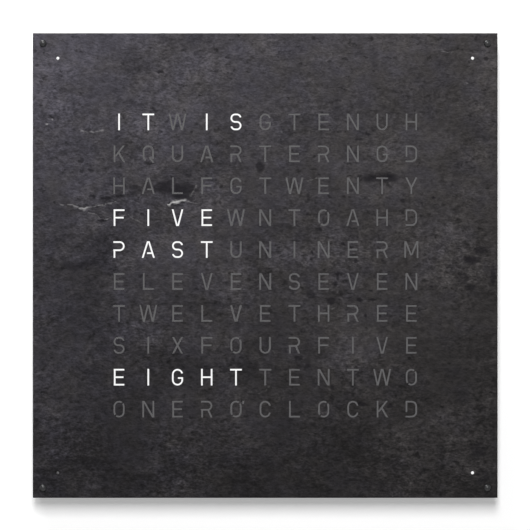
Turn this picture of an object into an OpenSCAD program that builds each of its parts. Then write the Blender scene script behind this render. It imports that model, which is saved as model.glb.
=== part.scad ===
// Wall-mounted word clock: a square slate face with a letter field lit from
// behind, on a lift-off cover that four pins locate and eight magnets hold.
// X is right, Z is up and the face looks along -Y. The origin is the middle of
// the plane where the housing's back meets the wall. A "depth" is a distance
// from that wall plane towards the viewer.

/* [Overall] */
// Width of the face and the cover behind it
clock_width = 450; // [420:1:560]
// Height of the face and the cover behind it
clock_height = 450; // [420:1:560]
// How far the cover overhangs the housing, as a finger grip
grip_overhang = 3; // [1:0.5:6]

/* [Cover] */
// Thickness of the slate face
face_thickness = 2; // [1.5:0.1:3]
// Thickness of the frame and the diffuser behind the slate
cover_frame_thickness = 3; // [2.5:0.1:5]
// How far the diffuser panel reaches past the slats
diffuser_margin = 3; // [2:0.5:8]
// Gap round the diffuser panel in its frame
diffuser_gap = 0.3; // [0.2:0.1:1]
// Radius of a steel keeper disc
keeper_radius = 8; // [6:0.5:9]
// Thickness of a steel keeper disc
keeper_thickness = 1.5; // [1:0.1:2]

/* [Letter field] */
// Letters in a row
columns = 11; // [5:2:11]
// Rows of letters
rows = 10; // [4:1:10]
// Distance between letters in a row
column_pitch = 28.3; // [20:0.1:32]
// Distance between rows
row_pitch = 30.9; // [20:0.1:32]
// Thickness of a baffle slat
slat_thickness = 1.2; // [0.8:0.1:2]
// Play of a slat in the slots that it crosses
slot_play = 0.1; // [0.05:0.05:0.2]
// Gap between the slats and the diffuser
slat_gap = 0.3; // [0.2:0.1:1]

/* [Minute dots] */
// From a dot's centre to the face's edges
dot_inset = 24.25; // [22:0.25:28]
// Radius of a dot in the face
dot_radius = 1.35; // [1:0.05:3]
// Radius of a light pipe's foot
lens_foot_radius = 4; // [3:0.5:5]
// Radius of the pocket that holds a dot's LED
dot_pocket_radius = 9; // [8:0.5:10]

/* [Locating pins] */
// From a pin's centre to the face's edges
pin_inset = 9.9; // [9.5:0.1:12]
// Radius of a pin where the cover slides over it
pin_radius = 3.4; // [2.5:0.1:4]
// Play between a pin and its hole in the cover
pin_play = 0.1; // [0.05:0.01:0.1]
// Straight part of a pin that stands out of the face
pin_stand = 1; // [0.5:0.1:2]
// Height of a pin's domed end
pin_dome = 2; // [1:0.1:3]
// How deep a pin is set in the housing
pin_set_depth = 12; // [8:1:14]

/* [Housing] */
// Depth of the housing
housing_depth = 18; // [16:0.5:26]
// Corner radius of the housing
housing_radius = 3; // [1:0.5:6]
// Chamfer round the housing's back edge
back_chamfer = 1; // [0.5:0.5:2]
// Thickness left behind the LED board
pocket_floor = 5.4; // [4:0.1:8]
// Corner radius of the LED board's pocket
pocket_radius = 6; // [3:0.5:8]
// Clearance round the LED board and other dropped-in pieces
drop_in = 0.5; // [0.3:0.1:1]
// Thickness of the housing's wall below the controls
edge_wall = 5; // [4:0.5:6]

/* [Magnets] */
// Radius of a magnet
magnet_radius = 6; // [4:0.5:6]
// Thickness of a magnet
magnet_thickness = 4; // [3:0.5:5]
// From the middle of the face to each magnet, along the side
magnet_along = 110; // [100:1:125]

/* [LEDs] */
// Thickness of the circuit boards
board_thickness = 1.6; // [1:0.1:2]
// How far the LED board reaches past the slats
board_margin = 5.5; // [5:0.5:7]
// Side of a letter's LED
led_size = 5; // [3:0.5:6]
// Height of a letter's LED
led_height = 1.6; // [1:0.1:2.5]
// Side of a minute dot's LED
dot_led_size = 3.5; // [2:0.5:4]
// Radius of a dot's round LED board
dot_board_radius = 8; // [6:0.5:8]
// Width of a dot's flat three-core lead
lead_width = 4.2; // [3:0.1:5]
// Thickness of a dot's flat three-core lead
lead_thickness = 1.2; // [0.8:0.1:1.5]

/* [Controls] */
// Distance between push buttons
button_pitch = 15; // [12:0.5:16]
// From the power inlet to the first push button
first_button = 26; // [20:1:28]
// Radius of a push button
button_radius = 2.5; // [2:0.1:3]
// Play between a push button and its hole
button_play = 0.1; // [0.05:0.01:0.1]
// How far a push button stands out of the edge
button_stand = 1.2; // [0.8:0.1:2]
// Travel of a push button
button_travel = 0.5; // [0.2:0.1:0.6]
// Side of a tactile switch
switch_size = 6; // [5:0.5:6]
// Radius of a tactile switch's plunger
plunger_radius = 1.75; // [1.5:0.05:2]
// Width of the control bay
bay_width = 170; // [165:1:180]
// Height of the control bay
bay_height = 48; // [44:1:50]
// Depth of the control bay
bay_depth = 14; // [13.5:0.5:15]
// Depth at which the control board's component side lies
control_board_depth = 9.4; // [9.4:0.1:10]
// Radius of the power inlet's bore
inlet_radius = 3.2; // [3.1:0.05:3.3]
// Radius of the power inlet's centre pin
inlet_pin_radius = 1.05; // [1.0:0.05:1.25]
// Outer side of the power inlet
inlet_size = 9; // [8.5:0.5:9.5]
// Length of the power inlet
inlet_length = 14; // [12:0.5:15]

/* [Back] */
// Thickness of the back cover
back_cover_thickness = 1.5; // [1:0.1:2]
// How far the back cover laps over the edge of the bay
back_cover_lap = 12; // [10:0.5:14]
// How far the plates at the back lie below the wall plane
back_recess = 0.2; // [0.1:0.1:0.5]
// Distance between the two keyholes
keyhole_spacing = 300; // [240:1:320]
// From the top of the face down to the keyholes
keyhole_drop = 35; // [30:1:38]
// Radius of a keyhole's round entry
keyhole_radius = 5; // [4:0.1:5.5]
// Width of a keyhole's slot
keyhole_slot = 5; // [4:0.1:5]
// Rise of the slot above the entry's centre
keyhole_rise = 10; // [8:0.5:12]
// Width of a keyhole hanger
hanger_width = 22; // [20:0.5:26]
// Height of a keyhole hanger
hanger_height = 48; // [44:0.5:52]
// Thickness of a keyhole hanger
hanger_thickness = 1.5; // [1:0.1:2]

/* [Hidden] */

$fn = 64;
// Overrun of a cut past the surface it opens
over = 1;

// Planes, as depths from the wall
face_back = housing_depth + cover_frame_thickness;
face_front = face_back + face_thickness;
board_front = pocket_floor + board_thickness;
slat_front = housing_depth - slat_gap;
slat_depth = slat_front - board_front;
control_back = control_board_depth + board_thickness;

// Half sizes and places seen from the front
housing_x = clock_width / 2 - grip_overhang;
housing_z = clock_height / 2 - grip_overhang;
slats_x = (columns * column_pitch + slat_thickness) / 2;
slats_z = (rows * row_pitch + slat_thickness) / 2;
led_board_x = slats_x + board_margin;
led_board_z = slats_z + board_margin;
pocket_x = led_board_x + drop_in;
pocket_z = led_board_z + drop_in;
diffuser_x = slats_x + diffuser_margin;
diffuser_z = slats_z + diffuser_margin;
window_x = diffuser_x + diffuser_gap;
window_z = diffuser_z + diffuser_gap;
window_radius = 3;
dot_x = clock_width / 2 - dot_inset;
dot_z = clock_height / 2 - dot_inset;
pin_x = clock_width / 2 - pin_inset;
pin_z = clock_height / 2 - pin_inset;
magnet_x = (pocket_x + housing_x) / 2;
magnet_z = (pocket_z + housing_z) / 2;
magnet_recess = 0.1;
// Radial gap round a piece that is glued into a hole
glue_gap = 0.1;

// Pin: a spigot in the housing, the shank, and a dome as wide as the shank
pin_spigot_radius = 3;
pin_shank_end = face_front + pin_stand;
dome_sphere = (pow(pin_radius, 2) + pow(pin_dome, 2)) / (2 * pin_dome);

// Light pipe
lens_play = 0.15;
lens_sunk = 0.2;
lens_foot_depth = 0.8;

// Screws: shank radius, head radius and head height
board_screw = [1.25, 2.2, 1.6];
plate_screw = [1.5, 3, 1.5];
screw_play = 0.1;
screw_length = 4;
cover_screw_length = 4.6;

// Control bay, along the housing's bottom edge
bay_bottom = -housing_z + edge_wall;
bay_top = bay_bottom + bay_height;
bay_radius = 4;
control_gap = 2;
control_bottom = bay_bottom + control_gap;
control_top = bay_top - control_gap;
control_x = bay_width / 2 - control_gap;
boss_inset = 7;
boss_radius = 3.5;
switch_depth = control_board_depth - switch_size / 2;
button_names = ["mode", "hour", "minute", "brightness"];
flange_radius = button_radius + 1;
flange_thickness = 1;
flange_gap = 0.1;
button_dome = 0.6;
button_sphere = (pow(button_radius, 2) + pow(button_dome, 2)) / (2 * button_dome);
plunger_length = 2.6;
plunger_play = 0.1;
plunger_out = 1.5;
switch_length = 3.6;
plunger_bottom = bay_bottom + flange_gap + flange_thickness;
switch_bottom = plunger_bottom + plunger_out;

// Parts on the control board
chip_z = (control_top + control_bottom) / 2;
chip_leg = 0.8;
driver_rise = 9;
crystal_x = -44;
crystal_radius = 1.5;
crystal_length = 7;
crystal_wire = 0.4;
cell_x = -64;
cell_radius = 10;
cell_thickness = 3.2;
cell_floor = 1.2;
cell_wall = 2;
cell_play = 0.2;

// Power inlet, half sunk in the control board's edge
inlet_depth = 7;
inlet_bottom = -housing_z + 0.3;
inlet_bore = 10;
inlet_gap = 0.2;
inlet_pin_length = 9;

// Ribbon cable between the two boards and the channel that it runs in
ribbon_width = 16;
ribbon_thickness = 0.9;
ribbon_depth = 3.2;
ribbon_channel_width = 26;
socket_width = 20;
socket_height = 6;
led_socket_z = -led_board_z + 12.5;
control_socket_z = bay_top - 10;
ribbon_channel_top = led_socket_z + 8;
socket_slot = 1.4;
socket_depth = 2;

// Channels for the dots' leads, and their ends over the boards' pads
lead_channel = 5;
lead_start = 3;
lead_stop = 6;

// Back cover
back_x = bay_width / 2 + back_cover_lap;
back_bottom = bay_bottom - edge_wall / 2;
back_top = ribbon_channel_top + back_cover_lap / 2;
back_height = back_top - back_bottom;
back_radius = 4;
back_play = 0.3;
back_screw_x = bay_width / 2 + back_cover_lap / 2;
back_screw_rise = 5;

// LED board's screws, outside the slats and clear of the back cover
led_screw_x = slats_x + board_margin / 2;
led_screw_z = slats_z + board_margin / 2;
led_screw_along = back_x + 23;

// Keyhole hangers
keyhole_z = clock_height / 2 - keyhole_drop;
hanger_radius = 3;
hanger_screw_offset = 19;
head_pocket_width = 13;
// Pockets and screws of the hangers end short of the lead channels' floor
hanger_reach = board_front - 0.3;
hanger_screw_length = hanger_reach - back_recess - 0.2;

// --- shapes used by more than one piece ---

// A flat outline, drawn in X and Z, made solid between two depths
module layer(from, to) {
    translate([0, -from, 0]) rotate([90, 0, 0])
        linear_extrude(height = to - from) children();
}

// A round rod or hole along the depth
module rod(x, z, from, to, r) {
    translate([x, -from, z]) rotate([90, 0, 0])
        cylinder(h = to - from, r = r);
}

module block(x, z, from, to, w, h) {
    translate([x - w / 2, -to, z - h / 2]) cube([w, to - from, h]);
}

module rounded_rect(w, h, r) {
    square([w - 2 * r, h], center = true);
    square([w, h - 2 * r], center = true);
    for (x = [-1, 1], z = [-1, 1])
        translate([x * (w / 2 - r), z * (h / 2 - r)]) circle(r);
}

module each_corner(x, z) {
    for (side = [-1, 1], end = [-1, 1])
        translate([side * x, 0, end * z]) children();
}

module each_magnet() {
    for (side = [-1, 1], end = [-1, 1]) {
        translate([side * magnet_x, 0, end * magnet_along]) children();
        translate([end * magnet_along, 0, side * magnet_z]) children();
    }
}

// Pan-head screw whose head bears on a surface at a depth, driven to the wall
module pan_screw(x, z, seat, size, length) {
    rod(x, z, seat - length, seat, size[0]);
    difference() {
        rod(x, z, seat, seat + size[2], size[1]);
        drive(x, z, seat + size[2] - 0.8, seat + size[2] + over, size[1]);
    }
}

// Pan-head screw driven in from the back, its head nearer the wall
module rear_pan_screw(x, z, seat, size, length) {
    rod(x, z, seat, seat + length, size[0]);
    difference() {
        rod(x, z, seat - size[2], seat, size[1]);
        drive(x, z, seat - size[2] - over, seat - size[2] + 0.8, size[1]);
    }
}

// Countersunk screw driven in from the back, flush with a plate
module sunk_screw(x, z, seat, length) {
    rod(x, z, seat + plate_screw[2], seat + length, plate_screw[0]);
    difference() {
        translate([x, -seat, z]) rotate([90, 0, 0])
            cylinder(h = plate_screw[2], r1 = plate_screw[1], r2 = plate_screw[0]);
        drive(x, z, seat - over, seat + 0.9, plate_screw[1]);
    }
}

// Countersunk clearance hole for such a screw
module sunk_hole(x, z, seat, through) {
    rod(x, z, seat - over, through, plate_screw[0] + screw_play);
    translate([x, -seat, z]) rotate([90, 0, 0])
        cylinder(h = plate_screw[2], r1 = plate_screw[1] + screw_play,
            r2 = plate_screw[0] + screw_play);
}

// Cross recess of a screw head
module drive(x, z, from, to, r) {
    block(x, z, from, to, r * 1.1, r * 0.3);
    block(x, z, from, to, r * 0.3, r * 1.1);
}

// --- cover ---

module face_plate() {
    color([0.24, 0.24, 0.26])
    difference() {
        layer(face_back, face_front)
            square([clock_width, clock_height], center = true);
        each_corner(dot_x, dot_z)
            rod(0, 0, face_back - over, face_front + over, dot_radius + lens_play);
        each_corner(pin_x, pin_z)
            rod(0, 0, face_back - over, face_front + over, pin_radius + pin_play);
    }
}

module cover_frame() {
    color([0.07, 0.07, 0.08])
    difference() {
        layer(housing_depth, face_back)
            square([clock_width, clock_height], center = true);
        layer(housing_depth - over, face_back + over)
            rounded_rect(2 * window_x, 2 * window_z, window_radius + diffuser_gap);
        each_corner(dot_x, dot_z)
            rod(0, 0, housing_depth - over, face_back + over,
                lens_foot_radius + lens_play);
        each_corner(pin_x, pin_z)
            rod(0, 0, housing_depth - over, face_back + over, pin_radius + pin_play);
        each_magnet()
            rod(0, 0, housing_depth - over, housing_depth + keeper_thickness,
                keeper_radius + glue_gap);
    }
}

module diffuser_panel() {
    color([0.80, 0.82, 0.84])
    layer(housing_depth, face_back)
        rounded_rect(2 * diffuser_x, 2 * diffuser_z, window_radius);
}

module minute_lenses() {
    color([0.92, 0.94, 0.96])
    each_corner(dot_x, dot_z) {
        rod(0, 0, face_back, face_front - lens_sunk, dot_radius);
        rod(0, 0, housing_depth + lens_foot_depth, face_back, lens_foot_radius);
    }
}

module keeper_discs() {
    color([0.62, 0.63, 0.65])
    each_magnet()
        rod(0, 0, housing_depth, housing_depth + keeper_thickness, keeper_radius);
}

// --- housing and what locates the cover ---

// Section across the depth with its two back corners cut, as [side, Y] points
function back_section(half) = [[-half, -housing_depth], [half, -housing_depth],
    [half, -back_chamfer], [half - back_chamfer, 0],
    [back_chamfer - half, 0], [-half, -back_chamfer]];

// Block whose back edges are chamfered: the outline and two crossing sections
module housing_blank() {
    intersection() {
        layer(0, housing_depth)
            rounded_rect(2 * housing_x, 2 * housing_z, housing_radius);
        translate([0, 0, -housing_z]) linear_extrude(height = 2 * housing_z)
            polygon(back_section(housing_x));
        translate([-housing_x, 0, 0]) rotate([90, 0, 90])
            linear_extrude(height = 2 * housing_x)
                polygon([for (p = back_section(housing_z)) [p[1], p[0]]]);
    }
}

module led_pocket() {
    layer(pocket_floor, housing_depth + over)
        rounded_rect(2 * pocket_x, 2 * pocket_z, pocket_radius);
}

// Round pocket at each dot, and the diagonal channel that joins it to the LEDs
module dot_pockets() {
    for (side = [-1, 1], end = [-1, 1]) {
        rod(side * dot_x, end * dot_z, pocket_floor, housing_depth + over,
            dot_pocket_radius);
        lead_run(side, end, lead_channel, board_front, housing_depth + over, 0, 0);
    }
}

// Straight run from the LED board's corner to a dot, trimmed at both ends
module lead_run(side, end, width, from, to, trim_start, trim_stop) {
    start = [side * (led_board_x - pocket_radius), end * (led_board_z - pocket_radius)];
    stop = [side * dot_x, end * dot_z];
    run = stop - start;
    length = norm(run);
    layer(from, to)
        translate(start) rotate(atan2(run[1], run[0]))
            translate([trim_start, -width / 2])
                square([length - trim_start - trim_stop, width]);
}

module control_bay() {
    layer(-over, bay_depth)
        translate([0, (bay_top + bay_bottom) / 2])
            rounded_rect(bay_width, bay_height, bay_radius);
    layer(-over, pocket_floor + over)
        translate([0, (ribbon_channel_top + bay_top - over) / 2])
            square([ribbon_channel_width, ribbon_channel_top - bay_top + over],
                center = true);
    layer(-over, back_cover_thickness + back_recess)
        translate([0, (back_top + back_bottom) / 2])
            rounded_rect(2 * (back_x + back_play), back_height + 2 * back_play,
                back_radius + back_play);
}

module each_boss() {
    for (side = [-1, 1], z = [control_bottom + boss_inset, control_top - boss_inset])
        translate([side * (control_x - boss_inset), 0, z]) children();
}

module each_button() {
    for (i = [0 : len(button_names) - 1])
        translate([first_button + i * button_pitch, 0, 0]) children();
}

module upright_rod(depth, bottom, top, r) {
    translate([0, -depth, bottom]) cylinder(h = top - bottom, r = r);
}

module hanger_recess() {
    layer(-over, hanger_thickness + back_recess)
        rounded_rect(hanger_width + 2 * back_play, hanger_height + 2 * back_play,
            hanger_radius + back_play);
    layer(-over, hanger_reach)
        translate([0, keyhole_rise / 2])
            rounded_rect(head_pocket_width, head_pocket_width + keyhole_rise,
                head_pocket_width / 2 - over);
    for (end = [-1, 1])
        rod(0, end * hanger_screw_offset, -over, hanger_reach,
            plate_screw[0] + screw_play);
}

module each_hanger() {
    for (side = [-1, 1])
        translate([side * keyhole_spacing / 2, 0, keyhole_z]) children();
}

module each_back_screw() {
    for (side = [-1, 1], z = [back_bottom + back_screw_rise,
            (back_bottom + back_top) / 2, back_top - back_screw_rise])
        translate([side * back_screw_x, 0, z]) children();
}

module each_led_screw() {
    for (side = [-1, 1], end = [-1, 1]) {
        translate([side * led_screw_x, 0, end * led_screw_along]) children();
        translate([end * led_screw_along, 0, side * led_screw_z]) children();
    }
}

module housing() {
    color([0.09, 0.09, 0.10])
    difference() {
        union() {
            difference() {
                housing_blank();
                led_pocket();
                dot_pockets();
                control_bay();
            }
            each_boss() rod(0, 0, control_back, bay_depth + over / 2, boss_radius);
        }
        each_boss() rod(0, 0, control_back - over, bay_depth + 2,
            board_screw[0] + screw_play);
        each_corner(pin_x, pin_z)
            rod(0, 0, housing_depth - pin_set_depth, housing_depth + over,
                pin_spigot_radius + glue_gap);
        each_magnet()
            rod(0, 0, housing_depth - magnet_recess - magnet_thickness,
                housing_depth + over, magnet_radius + glue_gap);
        each_led_screw() rod(0, 0, pocket_floor - screw_length + over,
            pocket_floor + over, board_screw[0] + screw_play);
        each_hanger() hanger_recess();
        each_back_screw() rod(0, 0, 0, back_recess + cover_screw_length + screw_play,
            plate_screw[0] + screw_play);
        each_button() upright_rod(switch_depth, -housing_z - over,
            bay_bottom + over, button_radius + button_play);
        block(0, -housing_z + edge_wall / 2, inlet_depth - inlet_size / 2 - inlet_gap,
            inlet_depth + inlet_size / 2 + inlet_gap,
            inlet_size + 2 * inlet_gap, edge_wall + 2 * over);
    }
}

module locating_pins() {
    color([0.06, 0.06, 0.07])
    each_corner(pin_x, pin_z) {
        rod(0, 0, housing_depth - pin_set_depth, housing_depth, pin_spigot_radius);
        rod(0, 0, housing_depth, pin_shank_end, pin_radius);
        intersection() {
            rod(0, 0, pin_shank_end, pin_shank_end + pin_dome, pin_radius);
            translate([0, -pin_shank_end - pin_dome + dome_sphere, 0])
                sphere(dome_sphere);
        }
    }
}

module magnets() {
    color([0.72, 0.72, 0.74])
    each_magnet()
        rod(0, 0, housing_depth - magnet_recess - magnet_thickness,
            housing_depth - magnet_recess, magnet_radius);
}

// --- baffle of crossing slats: the upright ones are slotted from the front,
// the level ones from the back, and each slot takes half the depth ---

module column_slats() {
    color([0.93, 0.93, 0.92])
    for (i = [0 : columns])
        translate([(i - columns / 2) * column_pitch, 0, 0])
            difference() {
                block(0, 0, board_front, slat_front, slat_thickness, 2 * slats_z);
                for (j = [0 : rows])
                    block(0, (j - rows / 2) * row_pitch,
                        board_front + slat_depth / 2, slat_front + over,
                        slat_thickness + over, slat_thickness + 2 * slot_play);
            }
}

module row_slats() {
    color([0.95, 0.95, 0.94])
    for (j = [0 : rows])
        translate([0, 0, (j - rows / 2) * row_pitch])
            difference() {
                block(0, 0, board_front, slat_front, 2 * slats_x, slat_thickness);
                for (i = [0 : columns])
                    block((i - columns / 2) * column_pitch, 0,
                        board_front - over, board_front + slat_depth / 2,
                        slat_thickness + 2 * slot_play, slat_thickness + over);
            }
}

// --- LED boards ---

module each_cell() {
    for (i = [0 : columns - 1], j = [0 : rows - 1])
        translate([(i - (columns - 1) / 2) * column_pitch, 0,
            (j - (rows - 1) / 2) * row_pitch]) children();
}

module led_board() {
    color([0.90, 0.91, 0.89])
    difference() {
        layer(pocket_floor, board_front)
            rounded_rect(2 * led_board_x, 2 * led_board_z, pocket_radius - drop_in);
        each_led_screw() rod(0, 0, pocket_floor - over, board_front + over,
            board_screw[0] + screw_play);
    }
}

// Square package with a round well in its front
module led(size, height) {
    difference() {
        block(0, 0, board_front, board_front + height, size, size);
        rod(0, 0, board_front + height / 2, board_front + height + over, size * 0.4);
    }
}

module letter_leds() {
    color([0.96, 0.94, 0.82])
    each_cell() led(led_size, led_height);
}

module light_sensor() {
    color([0.20, 0.22, 0.26])
    translate([(columns - 1) / 2 * column_pitch + column_pitch / 4, 0,
        -(rows - 1) / 2 * row_pitch])
        difference() {
            block(0, 0, board_front, board_front + 1.2, 2, 4);
            rod(0, 0, board_front + 0.8, board_front + 1.2 + over, 0.7);
        }
}

module led_board_screws() {
    color([0.75, 0.75, 0.77])
    each_led_screw() pan_screw(0, 0, board_front, board_screw, screw_length);
}

module corner_boards() {
    color([0.90, 0.91, 0.89])
    each_corner(dot_x, dot_z)
        rod(0, 0, pocket_floor, board_front, dot_board_radius);
}

module corner_leds() {
    color([0.96, 0.94, 0.82])
    each_corner(dot_x, dot_z) led(dot_led_size, led_height);
}

module corner_leads() {
    color([0.80, 0.80, 0.78])
    for (side = [-1, 1], end = [-1, 1])
        lead_run(side, end, lead_width, board_front, board_front + lead_thickness,
            lead_start, lead_stop);
}

// --- control board and what is on it ---

module led_socket() {
    color([0.12, 0.12, 0.13]) ribbon_socket(led_socket_z, pocket_floor);
}

module control_socket() {
    color([0.12, 0.12, 0.13]) ribbon_socket(control_socket_z, control_board_depth);
}

// Socket standing on a board, with a slot that takes the flat ribbon
module ribbon_socket(z, board) {
    difference() {
        block(0, z, socket_depth, board, socket_width, socket_height);
        block(0, z, ribbon_depth - socket_slot / 2, ribbon_depth + socket_slot / 2,
            ribbon_width + 0.4, socket_height + 2 * over);
    }
}

module ribbon_cable() {
    color([0.62, 0.62, 0.64])
    block(0, (led_socket_z + control_socket_z) / 2,
        ribbon_depth - ribbon_thickness / 2, ribbon_depth + ribbon_thickness / 2,
        ribbon_width, led_socket_z - control_socket_z + socket_height);
}

module control_board() {
    color([0.05, 0.22, 0.13])
    difference() {
        layer(control_board_depth, control_back)
            difference() {
                translate([0, (control_top + control_bottom) / 2])
                    square([2 * control_x, control_top - control_bottom],
                        center = true);
                translate([0, control_bottom])
                    square([inlet_size + 2 * inlet_gap,
                        2 * (inlet_bottom + inlet_length + inlet_gap
                            - control_bottom)], center = true);
            }
        each_boss() rod(0, 0, control_board_depth - over, control_back + over,
            board_screw[0] + screw_play);
    }
}

module control_board_screws() {
    color([0.75, 0.75, 0.77])
    each_boss()
        rear_pan_screw(0, 0, control_board_depth, board_screw, screw_length);
}

// Chip that stands on a row of legs along each long side
module chip(x, z, w, h, thick, legs, leg_pitch) {
    block(x, z, control_board_depth - thick - 0.1, control_board_depth - 0.1, w, h);
    for (i = [0 : legs - 1], side = [-1, 1])
        block(x + (i - (legs - 1) / 2) * leg_pitch, z + side * (h + chip_leg) / 2,
            control_board_depth - thick / 2, control_board_depth,
            leg_pitch / 2, chip_leg);
}

module microcontroller() {
    color([0.10, 0.10, 0.11]) chip(-28, chip_z, 13, 10, 1.4, 10, 1.27);
}

module led_drivers() {
    color([0.10, 0.10, 0.11]) for (x = [24, 44])
        chip(x, chip_z + driver_rise, 11, 5.3, 1.6, 8, 1.27);
}

// Can on its side, with two wires bent down to the board
module clock_crystal() {
    middle = control_board_depth - crystal_radius;
    color([0.78, 0.78, 0.80]) {
        translate([crystal_x, -middle, chip_z])
            cylinder(h = crystal_length, r = crystal_radius);
        for (side = [-1, 1]) {
            block(crystal_x + side * crystal_radius / 2, chip_z - crystal_radius,
                middle - crystal_wire / 2, middle + crystal_wire / 2,
                crystal_wire, 2 * crystal_radius);
            block(crystal_x + side * crystal_radius / 2,
                chip_z - 2 * crystal_radius + crystal_wire / 2,
                middle - crystal_wire / 2, control_board_depth,
                crystal_wire, crystal_wire);
        }
    }
}

module filter_capacitor() {
    color([0.16, 0.17, 0.22])
    rod(-14, control_bottom + 8, control_board_depth - 6.2, control_board_depth, 4);
}

// Round cup with a finger notch
module cell_holder() {
    mouth = control_board_depth - cell_thickness - cell_floor;
    color([0.13, 0.13, 0.14])
    difference() {
        rod(cell_x, chip_z, mouth, control_board_depth, cell_radius + cell_wall);
        rod(cell_x, chip_z, mouth - over, control_board_depth - cell_floor,
            cell_radius + cell_play);
        block(cell_x, chip_z + cell_radius, mouth - over,
            control_board_depth - cell_floor, cell_radius, cell_radius);
    }
}

// Flat can with a stepped rim
module coin_cell() {
    bottom = control_board_depth - cell_floor;
    color([0.80, 0.80, 0.82]) {
        rod(cell_x, chip_z, bottom - 0.6, bottom, cell_radius - 1);
        rod(cell_x, chip_z, bottom - cell_thickness, bottom - 0.6, cell_radius);
    }
}

module power_inlet() {
    color([0.08, 0.08, 0.09])
    difference() {
        block(0, inlet_bottom + inlet_length / 2, inlet_depth - inlet_size / 2,
            inlet_depth + inlet_size / 2, inlet_size, inlet_length);
        upright_rod(inlet_depth, inlet_bottom - over, inlet_bottom + inlet_bore,
            inlet_radius);
    }
}

module inlet_pin() {
    color([0.82, 0.78, 0.60])
    upright_rod(inlet_depth, inlet_bottom + inlet_bore - inlet_pin_length,
        inlet_bottom + inlet_bore, inlet_pin_radius);
}

module tact_switches() {
    color([0.14, 0.14, 0.15])
    each_button() difference() {
        block(0, switch_bottom + switch_length / 2, control_board_depth - switch_size,
            control_board_depth, switch_size, switch_length);
        upright_rod(switch_depth, switch_bottom - over,
            plunger_bottom + plunger_length + button_travel + 0.2,
            plunger_radius + plunger_play);
    }
}

// --- push buttons, each a domed cap, a flange inside the wall and a plunger ---

module button(index) {
    color([0.12, 0.12, 0.13])
    translate([first_button + index * button_pitch, 0, 0]) {
        upright_rod(switch_depth, -housing_z - button_stand + button_dome,
            bay_bottom + flange_gap, button_radius);
        intersection() {
            upright_rod(switch_depth, -housing_z - button_stand,
                -housing_z - button_stand + button_dome, button_radius);
            translate([0, -switch_depth, -housing_z - button_stand + button_sphere])
                sphere(button_sphere);
        }
        upright_rod(switch_depth, bay_bottom + flange_gap,
            bay_bottom + flange_gap + flange_thickness, flange_radius);
    }
}

module plunger(index) {
    color([0.85, 0.83, 0.78])
    translate([first_button + index * button_pitch, 0, 0])
        upright_rod(switch_depth, plunger_bottom, plunger_bottom + plunger_length,
            plunger_radius);
}

module mode_button() button(0);
module mode_plunger() plunger(0);
module hour_button() button(1);
module hour_plunger() plunger(1);
module minute_button() button(2);
module minute_plunger() plunger(2);
module brightness_button() button(3);
module brightness_plunger() plunger(3);

// --- back ---

module back_cover() {
    color([0.10, 0.10, 0.11])
    difference() {
        layer(back_recess, back_recess + back_cover_thickness)
            translate([0, (back_top + back_bottom) / 2])
                rounded_rect(2 * back_x, back_height, back_radius);
        each_back_screw()
            sunk_hole(0, 0, back_recess, back_recess + back_cover_thickness + over);
    }
}

module back_cover_screws() {
    color([0.70, 0.70, 0.72])
    each_back_screw() sunk_screw(0, 0, back_recess, cover_screw_length);
}

module keyhole_hangers() {
    color([0.74, 0.75, 0.76])
    each_hanger() difference() {
        layer(back_recess, back_recess + hanger_thickness)
            difference() {
                rounded_rect(hanger_width, hanger_height, hanger_radius);
                circle(keyhole_radius);
                translate([-keyhole_slot / 2, 0]) square([keyhole_slot, keyhole_rise]);
                translate([0, keyhole_rise]) circle(keyhole_slot / 2);
            }
        for (end = [-1, 1])
            sunk_hole(0, end * hanger_screw_offset, back_recess,
                back_recess + hanger_thickness + over);
    }
}

module hanger_screws() {
    color([0.70, 0.70, 0.72])
    each_hanger() for (end = [-1, 1])
        sunk_screw(0, end * hanger_screw_offset, back_recess, hanger_screw_length);
}

face_plate();
cover_frame();
diffuser_panel();
minute_lenses();
keeper_discs();
housing();
locating_pins();
magnets();
column_slats();
row_slats();
led_board();
letter_leds();
light_sensor();
led_board_screws();
corner_boards();
corner_leds();
corner_leads();
led_socket();
control_socket();
ribbon_cable();
control_board();
control_board_screws();
microcontroller();
led_drivers();
clock_crystal();
filter_capacitor();
coin_cell();
cell_holder();
power_inlet();
inlet_pin();
tact_switches();
back_cover();
back_cover_screws();
keyhole_hangers();
hanger_screws();
mode_button();
mode_plunger();
hour_button();
hour_plunger();
minute_button();
minute_plunger();
brightness_button();
brightness_plunger();
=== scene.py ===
"""Looks of a wall-mounted word clock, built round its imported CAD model.

Everything is in metres in the CAD model's frame: X right, Z up, the face towards -Y
and the wall at Y = 0. A "depth" is a distance from the wall towards the viewer.
"""
import math

import bpy
import numpy as np
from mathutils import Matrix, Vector, noise
from mathutils.geometry import delaunay_2d_cdt


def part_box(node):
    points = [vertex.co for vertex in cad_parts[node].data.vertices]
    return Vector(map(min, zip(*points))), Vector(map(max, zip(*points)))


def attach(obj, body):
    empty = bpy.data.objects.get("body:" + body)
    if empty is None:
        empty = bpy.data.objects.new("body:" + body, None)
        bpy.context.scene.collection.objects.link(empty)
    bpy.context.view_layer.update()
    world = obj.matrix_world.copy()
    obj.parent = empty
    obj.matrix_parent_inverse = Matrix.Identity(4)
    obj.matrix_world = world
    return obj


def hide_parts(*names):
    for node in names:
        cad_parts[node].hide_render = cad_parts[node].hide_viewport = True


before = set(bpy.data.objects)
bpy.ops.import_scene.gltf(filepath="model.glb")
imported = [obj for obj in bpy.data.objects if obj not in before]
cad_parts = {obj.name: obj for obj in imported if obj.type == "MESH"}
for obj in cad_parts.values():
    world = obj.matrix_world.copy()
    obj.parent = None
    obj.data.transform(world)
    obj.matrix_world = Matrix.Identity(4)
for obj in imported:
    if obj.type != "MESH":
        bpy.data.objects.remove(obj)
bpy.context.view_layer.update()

MM = 0.001

# ---------------------------------------------------------------- sizes and places

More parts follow.
